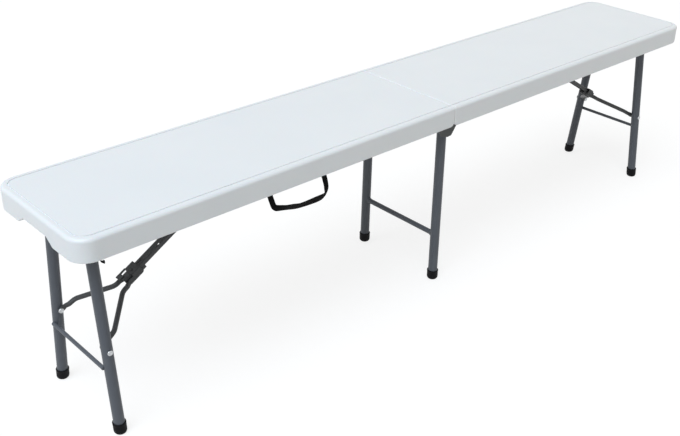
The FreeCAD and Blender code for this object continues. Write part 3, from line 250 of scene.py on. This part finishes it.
@dataclass(frozen=True)
class Finish:
    """What every finish has: a name, its colours and its gloss."""

    name: str
    slot: str
    colour: str
    shade: str
    roughness: float
    specular: float

    def start(self) -> tuple[Material, NodeTree, Node, Node]:
        """Make the material with its shader.

        Returns:
            The material, its tree, its shader and a node with the coordinates.
        """
        material = bpy.data.materials.new(self.name)
        material.use_nodes = True
        tree = material.node_tree
        tree.nodes.clear()
        shader = add_node(
            tree, "ShaderNodeBsdfPrincipled",
            {"Roughness": self.roughness, "Specular IOR Level": self.specular},
        )
        add_node(tree, "ShaderNodeOutputMaterial", links={"Surface": shader.outputs["BSDF"]})
        material.diffuse_color = linear(self.colour)
        return material, tree, shader, add_node(tree, "ShaderNodeTexCoord")

    def tint(self, tree: NodeTree, shader: Node, factor: NodeSocket, low: str, high: str) -> None:
        """Colour the surface between two colours.

        Args:
            tree: The material's tree.
            shader: The shader whose colour is set.
            factor: Socket that runs from 0 to 1.
            low: Hex colour at 0.
            high: Hex colour at 1.
        """
        mix = add_node(
            tree, "ShaderNodeMix",
            {"data_type": "RGBA", MIX_FROM: linear(low), MIX_TO: linear(high)}, {MIX_FACTOR: factor},
        )
        tree.links.new(mix.outputs[MIX_RESULT], shader.inputs["Base Color"])

    def mottle(self, tree: NodeTree, shader: Node, where: NodeSocket, patch_mm: float) -> NodeSocket:
        """Drift slowly between the two colours.

        Args:
            tree: The material's tree.
            shader: The shader whose colour is set.
            where: Socket with the coordinates in metres.
            patch_mm: Width of a patch in millimetres.

        Returns:
            The value of the noise that the patches come from.
        """
        noise = add_node(
            tree, "ShaderNodeTexNoise", {"Scale": 1 / (patch_mm * MM), "Detail": 3.0}, {"Vector": where}
        )
        self.tint(tree, shader, noise.outputs["Fac"], self.shade, self.colour)
        return noise.outputs["Fac"]

    def gloss(self, tree: NodeTree, shader: Node, pattern: NodeSocket, spread: float) -> None:
        """Let the roughness follow a pattern.

        Args:
            tree: The material's tree.
            shader: The shader whose roughness is set.
            pattern: Socket with the pattern's value.
            spread: How far the roughness goes to either side.
        """
        rough = add_node(
            tree, "ShaderNodeMapRange",
            {
                "From Min": NOISE_LOW,
                "From Max": NOISE_HIGH,
                "To Min": self.roughness - spread,
                "To Max": self.roughness + spread,
            },
            {"Value": pattern},
        )
        tree.links.new(rough.outputs["Result"], shader.inputs["Roughness"])

    def relief(
        self, tree: NodeTree, shader: Node, heights: NodeSocket, depth_mm: float, strength: float
    ) -> None:
        """Bump the surface by a pattern of heights.

        Args:
            tree: The material's tree.
            shader: The shader whose normal is set.
            heights: Socket with the pattern's value.
            depth_mm: Depth of the real pattern in millimetres.
            strength: How much of that depth shows, from 0 to 1.
        """
        bump = add_node(
            tree, "ShaderNodeBump", {"Distance": depth_mm * MM, "Strength": strength}, {"Height": heights}
        )
        tree.links.new(bump.outputs["Normal"], shader.inputs["Normal"])


@dataclass(frozen=True)
class MouldedPolyethylene(Finish):
    """Blow-moulded HDPE: milky white with a faint pebble from the sand-blasted mould."""

    patch_mm: float = 160.0
    pebble_mm: float = 2.6
    pebble_softness: float = 0.7
    pebble_depth_mm: float = 0.05
    pebble_strength: float = 0.35
    wave_mm: float = 45.0
    gloss_spread: float = 0.05
    milkiness: float = 0.06
    milk_depth_mm: float = 2.0
    refraction: float = 1.52

    def material(self) -> Material:
        """Build the plastic.

        The real pebble is about 1 mm; it is drawn at 2.6 mm so that it shows at all.

        Returns:
            The material.
        """
        material, tree, shader, place = self.start()
        where = place.outputs["Object"]
        self.mottle(tree, shader, where, self.patch_mm)
        pebbles = add_node(
            tree, "ShaderNodeTexVoronoi",
            {"feature": "SMOOTH_F1", "Scale": 1 / (self.pebble_mm * MM), "Smoothness": self.pebble_softness},
            {"Vector": where},
        )
        waves = add_node(
            tree, "ShaderNodeTexNoise", {"Scale": 1 / (self.wave_mm * MM), "Detail": 2.0}, {"Vector": where}
        )
        self.gloss(tree, shader, waves.outputs["Fac"], self.gloss_spread)
        self.relief(tree, shader, pebbles.outputs["Distance"], self.pebble_depth_mm, self.pebble_strength)
        shader.inputs["Subsurface Weight"].default_value = self.milkiness
        shader.inputs["Subsurface Scale"].default_value = self.milk_depth_mm * MM
        shader.inputs["IOR"].default_value = self.refraction
        return material


@dataclass(frozen=True)
class PowderCoat(Finish):
    """Polyester powder baked on steel: satin, with the fine ripple called orange peel."""

    cloud_mm: float = 38.0
    gloss_spread: float = 0.06
    streak_width_mm: float = 9.0
    streak_length_mm: float = 70.0
    streak_starts: float = 0.56
    streak_full: float = 0.78
    streak_most: float = 0.45
    peel_mm: float = 1.6
    peel_depth_mm: float = 0.035
    peel_strength: float = 0.5

    def material(self) -> Material:
        """Build the paint, with faint rubbed streaks from folding and stacking.

        Returns:
            The material.
        """
        material, tree, shader, place = self.start()
        where = place.outputs["Object"]
        clouds = add_node(
            tree, "ShaderNodeTexNoise", {"Scale": 1 / (self.cloud_mm * MM), "Detail": 4.0}, {"Vector": where}
        )
        narrow = 1 / (self.streak_width_mm * MM)
        stretched = add_node(
            tree, "ShaderNodeMapping",
            {"Scale": (narrow, narrow, 1 / (self.streak_length_mm * MM))}, {"Vector": where},
        )
        rubbed = add_node(
            tree, "ShaderNodeTexNoise",
            {"Scale": 1.0, "Detail": 5.0, "Roughness": 0.65}, {"Vector": stretched.outputs["Vector"]},
        )
        streak = add_node(
            tree, "ShaderNodeMapRange",
            {
                "From Min": self.streak_starts,
                "From Max": self.streak_full,
                "To Min": 0.0,
                "To Max": self.streak_most,
            },
            {"Value": rubbed.outputs["Fac"]},
        )
        self.tint(tree, shader, streak.outputs["Result"], self.colour, self.shade)
        self.gloss(tree, shader, clouds.outputs["Fac"], self.gloss_spread)
        peel = add_node(
            tree, "ShaderNodeTexNoise", {"Scale": 1 / (self.peel_mm * MM), "Detail": 1.5}, {"Vector": where}
        )
        self.relief(tree, shader, peel.outputs["Fac"], self.peel_depth_mm, self.peel_strength)
        return material


@dataclass(frozen=True)
class ZincPlate(Finish):
    """Bright zinc on steel: bluish silver, clouded in small patches where it was handled."""

    patch_mm: float = 3.0
    gloss_spread: float = 0.1
    depth_mm: float = 0.02
    strength: float = 0.4

    def material(self) -> Material:
        """Build the metal.

        Returns:
            The material.
        """
        material, tree, shader, place = self.start()
        patches = self.mottle(tree, shader, place.outputs["Object"], self.patch_mm)
        self.gloss(tree, shader, patches, self.gloss_spread)
        self.relief(tree, shader, patches, self.depth_mm, self.strength)
        shader.inputs["Metallic"].default_value = 1.0
        return material


@dataclass(frozen=True)
class MouldedRubber(Finish):
    """Black moulded rubber: dull, with a grainy skin and grey dust along the sole."""

    grain_mm: float = 0.9
    grain_depth_mm: float = 0.05
    grain_strength: float = 0.5
    gloss_spread: float = 0.08
    dust_height_mm: float = 5.0
    dust_most: float = 0.6

    def material(self) -> Material:
        """Build the rubber. Its shade is the dust, which fades out above the sole.

        Returns:
            The material.
        """
        material, tree, shader, place = self.start()
        where = place.outputs["Object"]
        grain = add_node(
            tree, "ShaderNodeTexNoise", {"Scale": 1 / (self.grain_mm * MM), "Detail": 3.0}, {"Vector": where}
        )
        height = add_node(tree, "ShaderNodeSeparateXYZ", links={"Vector": where})
        low = add_node(
            tree, "ShaderNodeMapRange",
            {"From Min": 0.0, "From Max": self.dust_height_mm * MM, "To Min": self.dust_most, "To Max": 0.0},
            {"Value": height.outputs["Z"]},
        )
        dusty = add_node(
            tree, "ShaderNodeMath",
            {"operation": "MULTIPLY"}, {0: low.outputs["Result"], 1: grain.outputs["Fac"]},
        )
        self.tint(tree, shader, dusty.outputs["Value"], self.colour, self.shade)
        self.gloss(tree, shader, grain.outputs["Fac"], self.gloss_spread)
        self.relief(tree, shader, grain.outputs["Fac"], self.grain_depth_mm, self.grain_strength)
        return material


@dataclass(frozen=True)
class MouldedNylon(Finish):
    """Injection-moulded nylon: black, with a soft sheen and a spark-eroded grain."""

    patch_mm: float = 12.0
    grain_mm: float = 0.6
    grain_depth_mm: float = 0.03
    grain_strength: float = 0.5
    gloss_spread: float = 0.06

    def material(self) -> Material:
        """Build the plastic.

        Returns:
            The material.
        """
        material, tree, shader, place = self.start()
        where = place.outputs["Object"]
        self.mottle(tree, shader, where, self.patch_mm)
        grain = add_node(
            tree, "ShaderNodeTexNoise", {"Scale": 1 / (self.grain_mm * MM), "Detail": 2.0}, {"Vector": where}
        )
        self.gloss(tree, shader, grain.outputs["Fac"], self.gloss_spread)
        self.relief(tree, shader, grain.outputs["Fac"], self.grain_depth_mm, self.grain_strength)
        return material


@dataclass(frozen=True)
class WovenWebbing(Finish):
    """Flat polypropylene webbing: ribs across the band, threads along it.

    It reads the band's own UV map, which is in metres along and across.
    """

    rib_mm: float = 1.5
    thread_mm: float = 1.0
    weave_depth_mm: float = 0.35
    weave_strength: float = 0.8
    fuzz: float = 0.03
    fuzz_roughness: float = 0.4

    def material(self) -> Material:
        """Build the weave, with painted shade in the hollows between threads and the thread tops painted
        lighter. A wave texture of scale S repeats every pi / (10 S).

        Returns:
            The material.
        """
        material, tree, shader, place = self.start()
        heights = []
        for direction, pitch in (("X", self.rib_mm), ("Y", self.thread_mm)):
            wave = add_node(
                tree, "ShaderNodeTexWave",
                {"bands_direction": direction, "Scale": math.pi / (10 * pitch * MM), "Distortion": 0.0},
                {"Vector": place.outputs["UV"]},
            )
            heights.append(wave.outputs["Fac"])
        woven = add_node(
            tree, "ShaderNodeMath", {"operation": "MULTIPLY"}, {0: heights[0], 1: heights[1]}
        )
        # Painted shade: the colour follows the weave's heights, darker in the hollows between threads and
        # lighter on their tops.
        self.tint(tree, shader, woven.outputs["Value"], self.colour, self.shade)
        self.relief(tree, shader, woven.outputs["Value"], self.weave_depth_mm, self.weave_strength)
        shader.inputs["Sheen Weight"].default_value = self.fuzz
        shader.inputs["Sheen Roughness"].default_value = self.fuzz_roughness
        return material


FINISHES: tuple[Finish, ...] = (
    MouldedPolyethylene("blow_moulded_hdpe", "seat_plastic", "#F0F2F3", "#EAEDEF", 0.4, 0.5),
    PowderCoat("powder_coat_slate", "leg_paint", "#595D64", "#6E7379", 0.4, 0.3),
    PowderCoat("powder_coat_graphite", "brace_paint", "#48494A", "#5C5D5E", 0.42, 0.3),
    PowderCoat("powder_coat_charcoal", "frame_paint", "#4D4F4E", "#606262", 0.45, 0.3),
    ZincPlate("bright_zinc", "zinc_steel", "#D2D4D5", "#AEB1B4", 0.32, 0.5),
    MouldedRubber("moulded_rubber", "foot_rubber", "#0E0E10", "#242424", 0.6, 0.12),
    # The webbing's second colour is the painted light on its thread tops.
    WovenWebbing("woven_polypropylene", "webbing", "#070707", "#111112", 0.75, 0.05),
    MouldedNylon("moulded_nylon", "latch_plastic", "#101011", "#0C0C0D", 0.45, 0.2),
)


class Wardrobe:
    """The materials, made once and given out by slot."""

    def __init__(self) -> None:
        """Make every finish's material."""
        self.materials: dict[str, Material] = {finish.slot: finish.material() for finish in FINISHES}

    def dress(self, piece: Object, slot: str) -> None:
        """Give a piece the material of a slot."""
        piece.data.materials.clear()
        piece.data.materials.append(self.materials[slot])

    def dress_frame(self, frame: dict[str, Any]) -> None:
        """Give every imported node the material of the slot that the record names."""
        for part in frame["record"]["subparts"]:
            self.dress(frame["nodes"][part["node"]], part["material_slot"])

    def add(self, piece: Object, body: str, slot: str, *nodes: str) -> None:
        """Dress a new piece, fasten it to its body and hide what it stands for.

        Args:
            piece: The new piece, in place.
            body: Body that carries it.
            slot: Material slot of its finish.
            *nodes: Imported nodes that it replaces.
        """
        self.dress(piece, slot)
        if nodes:
            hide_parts(*nodes)
        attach(piece, body)
        log.info("%s: %d faces on %s", piece.name, len(piece.data.polygons), body)


# Pieces


@dataclass
class RubberBoots:
    """Moulded feet with a rolled lip at the top and a worn edge at the sole."""

    end_leg_x: float = 852.0
    end_foot_y: float = 111.0
    end_lean: float = 0.10125
    mid_foot_y: float = 118.0
    mid_lean: float = 0.00875
    sides: int = 48
    smooth_below: float = 50.0
    profile: Profile = (
        (7.6, 0.0), (9.2, 0.4), (10.9, 1.5), (12.1, 3.2), (12.8, 5.4), (13.0, 8.0),
        (13.0, 19.2), (13.1, 19.8), (13.3, 20.4), (13.38, 21.6), (13.3, 22.9), (13.0, 23.7),
        (12.2, 24.0), (11.4, 23.9), (11.05, 23.3), (11.05, 4.3),
    )

    def pair(self, name: str, x: float, foot_y: float, lean: float) -> Object:
        """Make the two boots of one leg.

        Args:
            name: Name of the pair.
            x: Place of the leg along the bench.
            foot_y: Distance of each foot from the centre line.
            lean: Inward shift of the leg for each millimetre of height.

        Returns:
            Both boots as one object.
        """
        boot = turned_piece(name, self.profile, self.sides, lean)
        near = Matrix.Translation((x * MM, -foot_y * MM, 0))
        far = Matrix.Translation((x * MM, foot_y * MM, 0)) @ Matrix.Rotation(math.pi, 4, "Z")
        return near_and_far(boot, near, far, self.smooth_below)

    def build(self, wardrobe: Wardrobe) -> None:
        """Make all six boots.

        Args:
            wardrobe: The materials.
        """
        for half in Half:
            name = f"rubber_boots_{half.word}"
            boots = self.pair(name, half.value * self.end_leg_x, self.end_foot_y, self.end_lean)
            wardrobe.add(boots, f"end_leg_{half.word}", "foot_rubber", f"end_feet_{half.word}")
        middle = self.pair("rubber_boots_middle", 0, self.mid_foot_y, self.mid_lean)
        wardrobe.add(middle, "mid_leg", "foot_rubber", "mid_feet")


@dataclass
class BraceRivets:
    """Semi-tubular rivets: a rolled head with a dimple, and the shank behind it."""

    shank: float = 3.0
    head_sunk: float = 2.2
    shank_gap: float = 0.4
    arm_shank: float = 3.9
    sides: int = 32
    smooth_below: float = 40.0
    head_profile: Profile = (
        (5.5, 0.0), (5.6, 0.5), (5.35, 1.2), (4.7, 1.8), (3.9, 2.15),
        (3.2, 2.1), (2.6, 1.7), (2.2, 1.2), (1.2, 1.05),
    )

    def pair(self, name: str, middle: Vector, seat: float, length: float, outward: bool) -> Object:
        """The near and the far rivet of one brace.

        Args:
            name: Name of the pair.
            middle: The point halfway between the two rivets.
            seat: Distance of the head's bearing face from the centre line.
            length: Length of the shank.
            outward: Whether the heads point away from the centre line.

        Returns:
            Both rivets as one object.
        """
        profile = [(self.shank, -length), (self.shank, 0.0), *self.head_profile]
        rivet = turned_piece(name, profile, self.sides)
        places = []
        for way in (-1, 1):
            facing = way if outward else -way
            turn = Matrix.Rotation(math.radians(-90 * facing), 4, "X")
            places.append(Matrix.Translation((middle.x, way * seat * MM, middle.z)) @ turn)
        return near_and_far(rivet, *places, self.smooth_below)

    def build(self, wardrobe: Wardrobe) -> None:
        """Make the rivets' halves that stay in the legs and those that ride on the arms.

        Args:
            wardrobe: The materials.
        """
        for half in Half:
            leg_node = f"leg_rivets_{half.word}"
            arm_node = f"arm_rivets_{half.word}"
            low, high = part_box(leg_node)
            middle = (low + high) / 2
            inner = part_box(arm_node)[1].y / MM
            seat = high.y / MM - self.head_sunk
            length = seat - inner - self.shank_gap
            leg_pair = self.pair(f"rivet_heads_leg_{half.word}", middle, seat, length, True)
            wardrobe.add(leg_pair, f"end_leg_{half.word}", "zinc_steel", leg_node)
            seat = inner - self.arm_shank
            arm_pair = self.pair(f"rivet_heads_arm_{half.word}", middle, seat, self.arm_shank, False)
            wardrobe.add(arm_pair, f"arms_{half.word}", "zinc_steel", arm_node)


@dataclass
class WeldBeads:
    """Rippled fillets of weld where the cross rods meet the legs."""

    rod_profile: Profile = ((3.4, -1.2), (4.1, -0.8), (4.3, 0.2), (4.25, 1.6), (4.12, 2.8), (3.98, 3.4))
    rod_ripples: int = 11
    bar_profile: Profile = ((7.8, -2.5), (7.6, 0.0), (7.0, 1.2), (6.5, 2.2), (6.2, 3.0), (5.98, 3.6))
    bar_ripples: int = 15
    bar_bite: float = 2.0
    ripple: float = 0.1
    fade: float = 4.0
    sides: int = 48
    smooth_below: float = 60.0

    def ruffle(self, bead: Object, ripples: int) -> None:
        """Swell and pinch a bead round its axis, less and less towards its thin end.

        Args:
            bead: The bead, about Z with its thin end up.
            ripples: Number of ripples round it.
        """
        for vertex in bead.data.vertices:
            angle = math.atan2(vertex.co.y, vertex.co.x)
            share = min(1.0, max(0.0, 1 - vertex.co.z / (self.fade * MM)))
            reach = Vector((vertex.co.x, vertex.co.y, 0))
            vertex.co += reach.normalized() * self.ripple * MM * math.sin(ripples * angle) * share

    def pair(self, name: str, rod: str, profile: Profile, ripples: int, bite: float = 0.0) -> Object:
        """The beads at both ends of a cross rod.

        Args:
            name: Name of the pair.
            rod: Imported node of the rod.
            profile: Outline of a bead, its axis along the rod.
            ripples: Number of ripples round a bead.
            bite: How far the beads sit inwards from the rod's ends.

        Returns:
            Both beads as one object.
        """
        low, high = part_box(rod)
        middle = (low + high) / 2
        bead = turned_piece(name, profile, self.sides)
        self.ruffle(bead, ripples)
        places = []
        for way in (-1, 1):
            turn = Matrix.Rotation(math.radians(90 * way), 4, "X")
            places.append(Matrix.Translation((middle.x, way * (high.y - bite * MM), middle.z)) @ turn)
        return near_and_far(bead, *places, self.smooth_below)

    def build(self, wardrobe: Wardrobe) -> None:
        """Make the beads of both end legs and of the middle leg.

        Args:
            wardrobe: The materials.
        """
        for half in Half:
            rod = f"end_cross_rod_{half.word}"
            beads = self.pair(f"weld_beads_{half.word}", rod, self.rod_profile, self.rod_ripples)
            wardrobe.add(beads, f"end_leg_{half.word}", "leg_paint")
        middle = self.pair(
            "weld_beads_middle", "mid_cross_bar", self.bar_profile, self.bar_ripples, self.bar_bite
        )
        wardrobe.add(middle, "mid_leg", "leg_paint")


@dataclass
class BandStep:
    """One step along the strap.

    Point is its place in millimetres and twist the band's turn there in radians.
    Fullness runs from 0, where the band is gathered, to 1, where it has its full width.
    Across is the band's direction from edge to edge, set only at the strap's ends.
    """

    point: Vector
    twist: float = 0.0
    fullness: float = 0.0
    across: Vector | None = None

    def axes(self, heading: Vector) -> tuple[Vector, Vector]:
        """Find how the band lies here.

        Args:
            heading: The way along the strap.

        Returns:
            The way across the band and the way out of its face.
        """
        level = CROSSWISE.cross(heading).normalized() if self.across is None else self.across
        wide = level * math.cos(self.twist) + CROSSWISE * math.sin(self.twist)
        wide = (wide - heading * wide.dot(heading)).normalized()
        return wide, heading.cross(wide)


@dataclass
class CarryHandle:
    """Webbing strap that hangs from two clip bars under the near edge.

    Each point of hang is a share of the way from clip to clip and a share of the sag.
    Each of twist is a share of the hanging steps and the band's turn there in degrees.
    """

    left: float = -504.0
    right: float = -368.0
    bar_y: float = -136.6
    bar_z: float = 402.5
    bar_radius: float = 1.25
    drop: float = 2.8
    sag: float = 51.5
    width: float = 19.0
    thick: float = 1.5
    crown: float = 0.15
    soft_edge: float = 0.35
    gathered: float = 0.62
    gathered_until: float = 0.18
    full_from: float = 0.38
    flat_share: float = 0.95
    tail: float = 3.2
    tail_steps: int = 6
    tail_gap: float = 1.6
    wrap_turn: float = 1.45 * math.pi
    wrap_steps: int = 10
    outward: float = 0.25
    outward_until: float = 1 / 6
    hang_steps: int = 84
    across_steps: int = 8
    smooth_below: float = 60.0
    hang: Profile = (
        (0.0, 0.06), (0.03, 0.30), (0.085, 0.62), (0.22, 0.76), (0.38, 0.86), (0.54, 0.95),
        (0.80, 0.97), (0.98, 0.95), (1.048, 0.80), (1.05, 0.55), (1.025, 0.27), (1.0, 0.06),
    )
    twist: Profile = (
        (0.0, 0.0), (0.16, 0.0), (0.32, 34.0), (0.42, 36.0), (0.58, 23.0),
        (0.7, 30.0), (0.84, 4.0), (0.91, 0.0), (1.0, 0.0),
    )

    def hanging_point(self, share: float) -> Vector:
        """A point on a smooth line through the hanging points.

        Args:
            share: From 0 at the left clip to 1 at the right one.

        Returns:
            The point in millimetres.
        """
        last = len(self.hang) - 1
        index = min(int(share * last), last - 1)
        part = share * last - index
        four = [Vector(self.hang[min(max(index + step, 0), last)]) for step in (-1, 0, 1, 2)]
        spot = 0.5 * (
            2 * four[1]
            + (four[2] - four[0]) * part
            + (2 * four[0] - 5 * four[1] + 4 * four[2] - four[3]) * part ** 2
            + (3 * four[1] - four[0] - 3 * four[2] + four[3]) * part ** 3
        )
        x = self.left + spot.x * (self.right - self.left)
        offset = self.outward * max(0.0, 1 - min(share, 1 - share) / self.outward_until)
        return Vector((x, self.bar_y - offset, self.bar_z - self.drop - spot.y * self.sag))

    def end_points(self, x: float) -> list[Vector]:
        """The strap's end at a clip, from its tail up over the bar and down the other side.

        Args:
            x: Place of the clip along the bench.

        Returns:
            Points in millimetres, from the tail on.
        """
        radius = self.bar_radius + self.thick / 2
        points = []
        for step in range(self.tail_steps):
            share = step / self.tail_steps
            spread = self.tail_gap + (radius - self.tail_gap) * share ** 2
            points.append(Vector((x, self.bar_y + spread, self.bar_z - self.tail * (1 - share))))
        for step in range(self.wrap_steps + 1):
            angle = self.wrap_turn * step / self.wrap_steps
            y = self.bar_y + radius * math.cos(angle)
            points.append(Vector((x, y, self.bar_z + radius * math.sin(angle))))
        return points

    def twist_at(self, share: float) -> float:
        """How far the strap has turned about its line.

        Args:
            share: From 0 at the left clip to 1 at the right one.

        Returns:
            The turn in radians.
        """
        for (start, low), (end, high) in zip(self.twist, self.twist[1:]):
            if share <= end:
                part = (share - start) / (end - start)
                return math.radians(low + (high - low) * part * part * (3 - 2 * part))
        return 0.0

    def track(self) -> list[BandStep]:
        """Follow the strap from tail to tail.

        Returns:
            Its steps, from the left tail to the right one.
        """
        middle = []
        for step in range(1, self.hang_steps):
            share = step / self.hang_steps
            risen = (min(share, 1 - share) - self.gathered_until) / (self.full_from - self.gathered_until)
            fullness = min(1.0, max(0.0, risen))
            middle.append(BandStep(self.hanging_point(share), self.twist_at(share), fullness))
        start = [BandStep(point, across=Vector((-1, 0, 0))) for point in self.end_points(self.left)]
        end = [BandStep(point, across=Vector((1, 0, 0))) for point in reversed(self.end_points(self.right))]
        return start + middle + end

    def band(self, track: Sequence[BandStep]) -> tuple[Object, float]:
        """Lay the band's surface along its steps, with a UV map in metres.

        Args:
            track: The steps from tail to tail.

        Returns:
            The thin band, and its length in millimetres.
        """
        vertices, faces, marks = [], [], []
        along = 0.0
        rows = self.across_steps + 1
        for index, step in enumerate(track):
            before = track[max(index - 1, 0)].point
            after = track[min(index + 1, len(track) - 1)].point
            along += (step.point - before).length
            wide, flat = step.axes((after - before).normalized())
            half = self.width / 2 * (self.gathered + (1 - self.gathered) * step.fullness)
            for row in range(rows):
                side = 2 * row / self.across_steps - 1
                rise = self.crown * (1 - side * side)
                vertices.append((step.point + wide * side * half + flat * rise) * MM)
                marks.append((along * MM, side * half * MM))
        for index in range(len(track) - 1):
            for row in range(self.across_steps):
                first = index * rows + row
                faces.append((first, first + 1, first + rows + 1, first + rows))
        mesh = bpy.data.meshes.new("webbing_handle")
        mesh.from_pydata(vertices, [], faces)
        layer = mesh.uv_layers.new(name="band")
        for corner in mesh.loops:
            layer.data[corner.index].uv = marks[corner.vertex_index]
        strap = bpy.data.objects.new("webbing_handle", mesh)
        bpy.context.collection.objects.link(strap)
        return strap, along

    def build(self, wardrobe: Wardrobe) -> None:
        """Weave the band, give it its thickness and hang it on the clips.

        Args:
            wardrobe: The materials.
        """
        strap, along = self.band(self.track())
        solidify = strap.modifiers.new("thickness", "SOLIDIFY")
        solidify.thickness = self.thick * MM
        solidify.offset = 0.0
        bevel = strap.modifiers.new("soft_edge", "BEVEL")
        bevel.width = self.soft_edge * MM
        bevel.segments = 2
        select_only(strap)
        bpy.ops.object.modifier_apply(modifier=solidify.name)
        bpy.ops.object.modifier_apply(modifier=bevel.name)
        smooth(strap, self.smooth_below)
        wardrobe.add(strap, "handle", "webbing", "carry_handle")


# Stage


@dataclass
class Studio:
    """Pale floor, soft light and the camera at the photograph's place.

    The camera's place is in millimetres and its angles are in radians. The lamps and the
    floor are in metres, and the sun's spread is in degrees.
    """

    frame_width: float = 680.0
    focal_pixels: float = 994.46
    sensor: float = 36.0
    far_clip: float = 50.0
    camera_place: Triple = (-1540.26, -1454.86, 1267.39)
    yaw: float = -0.746
    pitch: float = -0.501
    roll: float = 0.021
    sky: float = 0.335
    sky_colour: Colour = (1.0, 0.985, 0.955, 1.0)
    sun_share: float = 0.635
    sun_spread: float = 50.0
    sun_colour: Triple = (0.92, 0.965, 1.0)
    sun_from: Triple = (-0.49, -0.15, 0.86)
    window_place: Triple = (-2.1, -0.5, 2.2)
    window_aim: Triple = (-0.6, 0.0, 0.45)
    window_size: float = 1.2
    window_watts: float = 9.0
    window_colour: Triple = (0.42, 0.68, 1.0)
    floor_size: float = 14.0
    floor_drop: float = 0.0002
    floor_colour: Colour = (0.66, 0.645, 0.62, 1.0)
    shadow_colour: Colour = (0.26, 0.26, 0.26, 1.0)
    floor_glow: float = 0.8

    def camera(self) -> None:
        """Put the camera where the photograph was taken."""
        forward = Vector((
            -math.sin(self.yaw) * math.cos(self.pitch),
            math.cos(self.yaw) * math.cos(self.pitch),
            math.sin(self.pitch),
        ))
        level = Vector((math.cos(self.yaw), math.sin(self.yaw), 0))
        upward = level.cross(forward)
        right = math.cos(self.roll) * level + math.sin(self.roll) * upward
        up = -math.sin(self.roll) * level + math.cos(self.roll) * upward
        data = bpy.data.cameras.new("camera")
        data.sensor_width = self.sensor
        data.lens = self.focal_pixels / self.frame_width * self.sensor
        data.clip_end = self.far_clip
        camera = bpy.data.objects.new("camera", data)
        bpy.context.collection.objects.link(camera)
        turn = Matrix((right, up, -forward)).transposed().to_4x4()
        camera.matrix_world = Matrix.Translation(Vector(self.camera_place) * MM) @ turn
        bpy.context.scene.camera = camera

    def seen_directly(self, tree: NodeTree) -> NodeSocket:
        """Tell the rays that show a surface from those that light others with it.

        Args:
            tree: Tree of the surface.

        Returns:
            A factor of 1 for camera, glossy and transmission rays.
        """
        path = add_node(tree, "ShaderNodeLightPath")
        factor = path.outputs["Is Camera Ray"]
        for kind in ("Is Glossy Ray", "Is Transmission Ray"):
            either = add_node(
                tree, "ShaderNodeMath", {"operation": "MAXIMUM"}, {0: factor, 1: path.outputs[kind]}
            )
            factor = either.outputs["Value"]
        return factor

    def world(self) -> None:
        """A white surround to the eye that lights the bench gently."""
        world = bpy.data.worlds.new("surround")
        bpy.context.scene.world = world
        world.use_nodes = True
        tree = world.node_tree
        tree.nodes.clear()
        lit = add_node(tree, "ShaderNodeBackground", {"Color": self.sky_colour, "Strength": self.sky})
        shown = add_node(tree, "ShaderNodeBackground", {"Color": WHITE, "Strength": 1.0})
        mix = add_node(
            tree, "ShaderNodeMixShader",
            links={
                0: self.seen_directly(tree),
                1: lit.outputs["Background"],
                2: shown.outputs["Background"],
            },
        )
        add_node(tree, "ShaderNodeOutputWorld", links={"Surface": mix.outputs["Shader"]})

    def hang_lamp(self, data: Light, place: Vector, back: Vector) -> None:
        """Put a lamp at its place and turn it.

        Args:
            data: The lamp's light.
            place: Where it hangs, in metres.
            back: The way its back points, against its light.
        """
        lamp = bpy.data.objects.new(data.name, data)
        bpy.context.collection.objects.link(lamp)
        lamp.location = place
        lamp.rotation_euler = back.to_track_quat("Z", "Y").to_euler()

    def sun(self) -> None:
        """A wide cool light from above the left end."""
        data = bpy.data.lights.new("sky_panel", "SUN")
        data.energy = math.pi * self.sun_share
        data.angle = math.radians(self.sun_spread)
        data.color = self.sun_colour
        self.hang_lamp(data, Vector((0, 0, 0)), Vector(self.sun_from))

    def window(self) -> None:
        """A bluish panel beside the left end, whose light fades along the bench."""
        data = bpy.data.lights.new("window_panel", "AREA")
        data.shape = "SQUARE"
        data.size = self.window_size
        data.energy = self.window_watts
        data.color = self.window_colour
        place = Vector(self.window_place)
        self.hang_lamp(data, place, place - Vector(self.window_aim))

    def floor(self) -> None:
        """A floor that is nearly white to the eye but keeps a soft shadow.

        Its glow is only seen, and lights nothing. To the light it is plain matt.
        """
        deselect()
        bpy.ops.mesh.primitive_plane_add(size=self.floor_size, location=(0, 0, -self.floor_drop))
        ground = bpy.context.object
        ground.name = "floor"
        material = bpy.data.materials.new("pale_floor")
        material.use_nodes = True
        tree = material.node_tree
        tree.nodes.clear()
        matt = add_node(tree, "ShaderNodeBsdfDiffuse", {"Color": self.floor_colour})
        shadow = add_node(tree, "ShaderNodeBsdfDiffuse", {"Color": self.shadow_colour})
        glow = add_node(tree, "ShaderNodeEmission", {"Color": WHITE, "Strength": self.floor_glow})
        shown = add_node(
            tree, "ShaderNodeAddShader", links={0: shadow.outputs["BSDF"], 1: glow.outputs["Emission"]}
        )
        mix = add_node(
            tree, "ShaderNodeMixShader",
            links={0: self.seen_directly(tree), 1: matt.outputs["BSDF"], 2: shown.outputs["Shader"]},
        )
        add_node(tree, "ShaderNodeOutputMaterial", links={"Surface": mix.outputs["Shader"]})
        ground.data.materials.append(material)

    def build(self) -> None:
        """Set up the view, the light and the floor."""
        self.camera()
        self.world()
        self.sun()
        self.window()
        self.floor()
        bpy.context.scene.view_settings.view_transform = "Standard"
        log.info("studio ready")


def main() -> None:
    """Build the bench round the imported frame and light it."""
    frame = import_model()
    Studio().build()
    wardrobe = Wardrobe()
    wardrobe.dress_frame(frame)
    RubberBoots().build(wardrobe)
    BraceRivets().build(wardrobe)
    WeldBeads().build(wardrobe)
    CarryHandle().build(wardrobe)


if __name__ == "__main__":
    main()
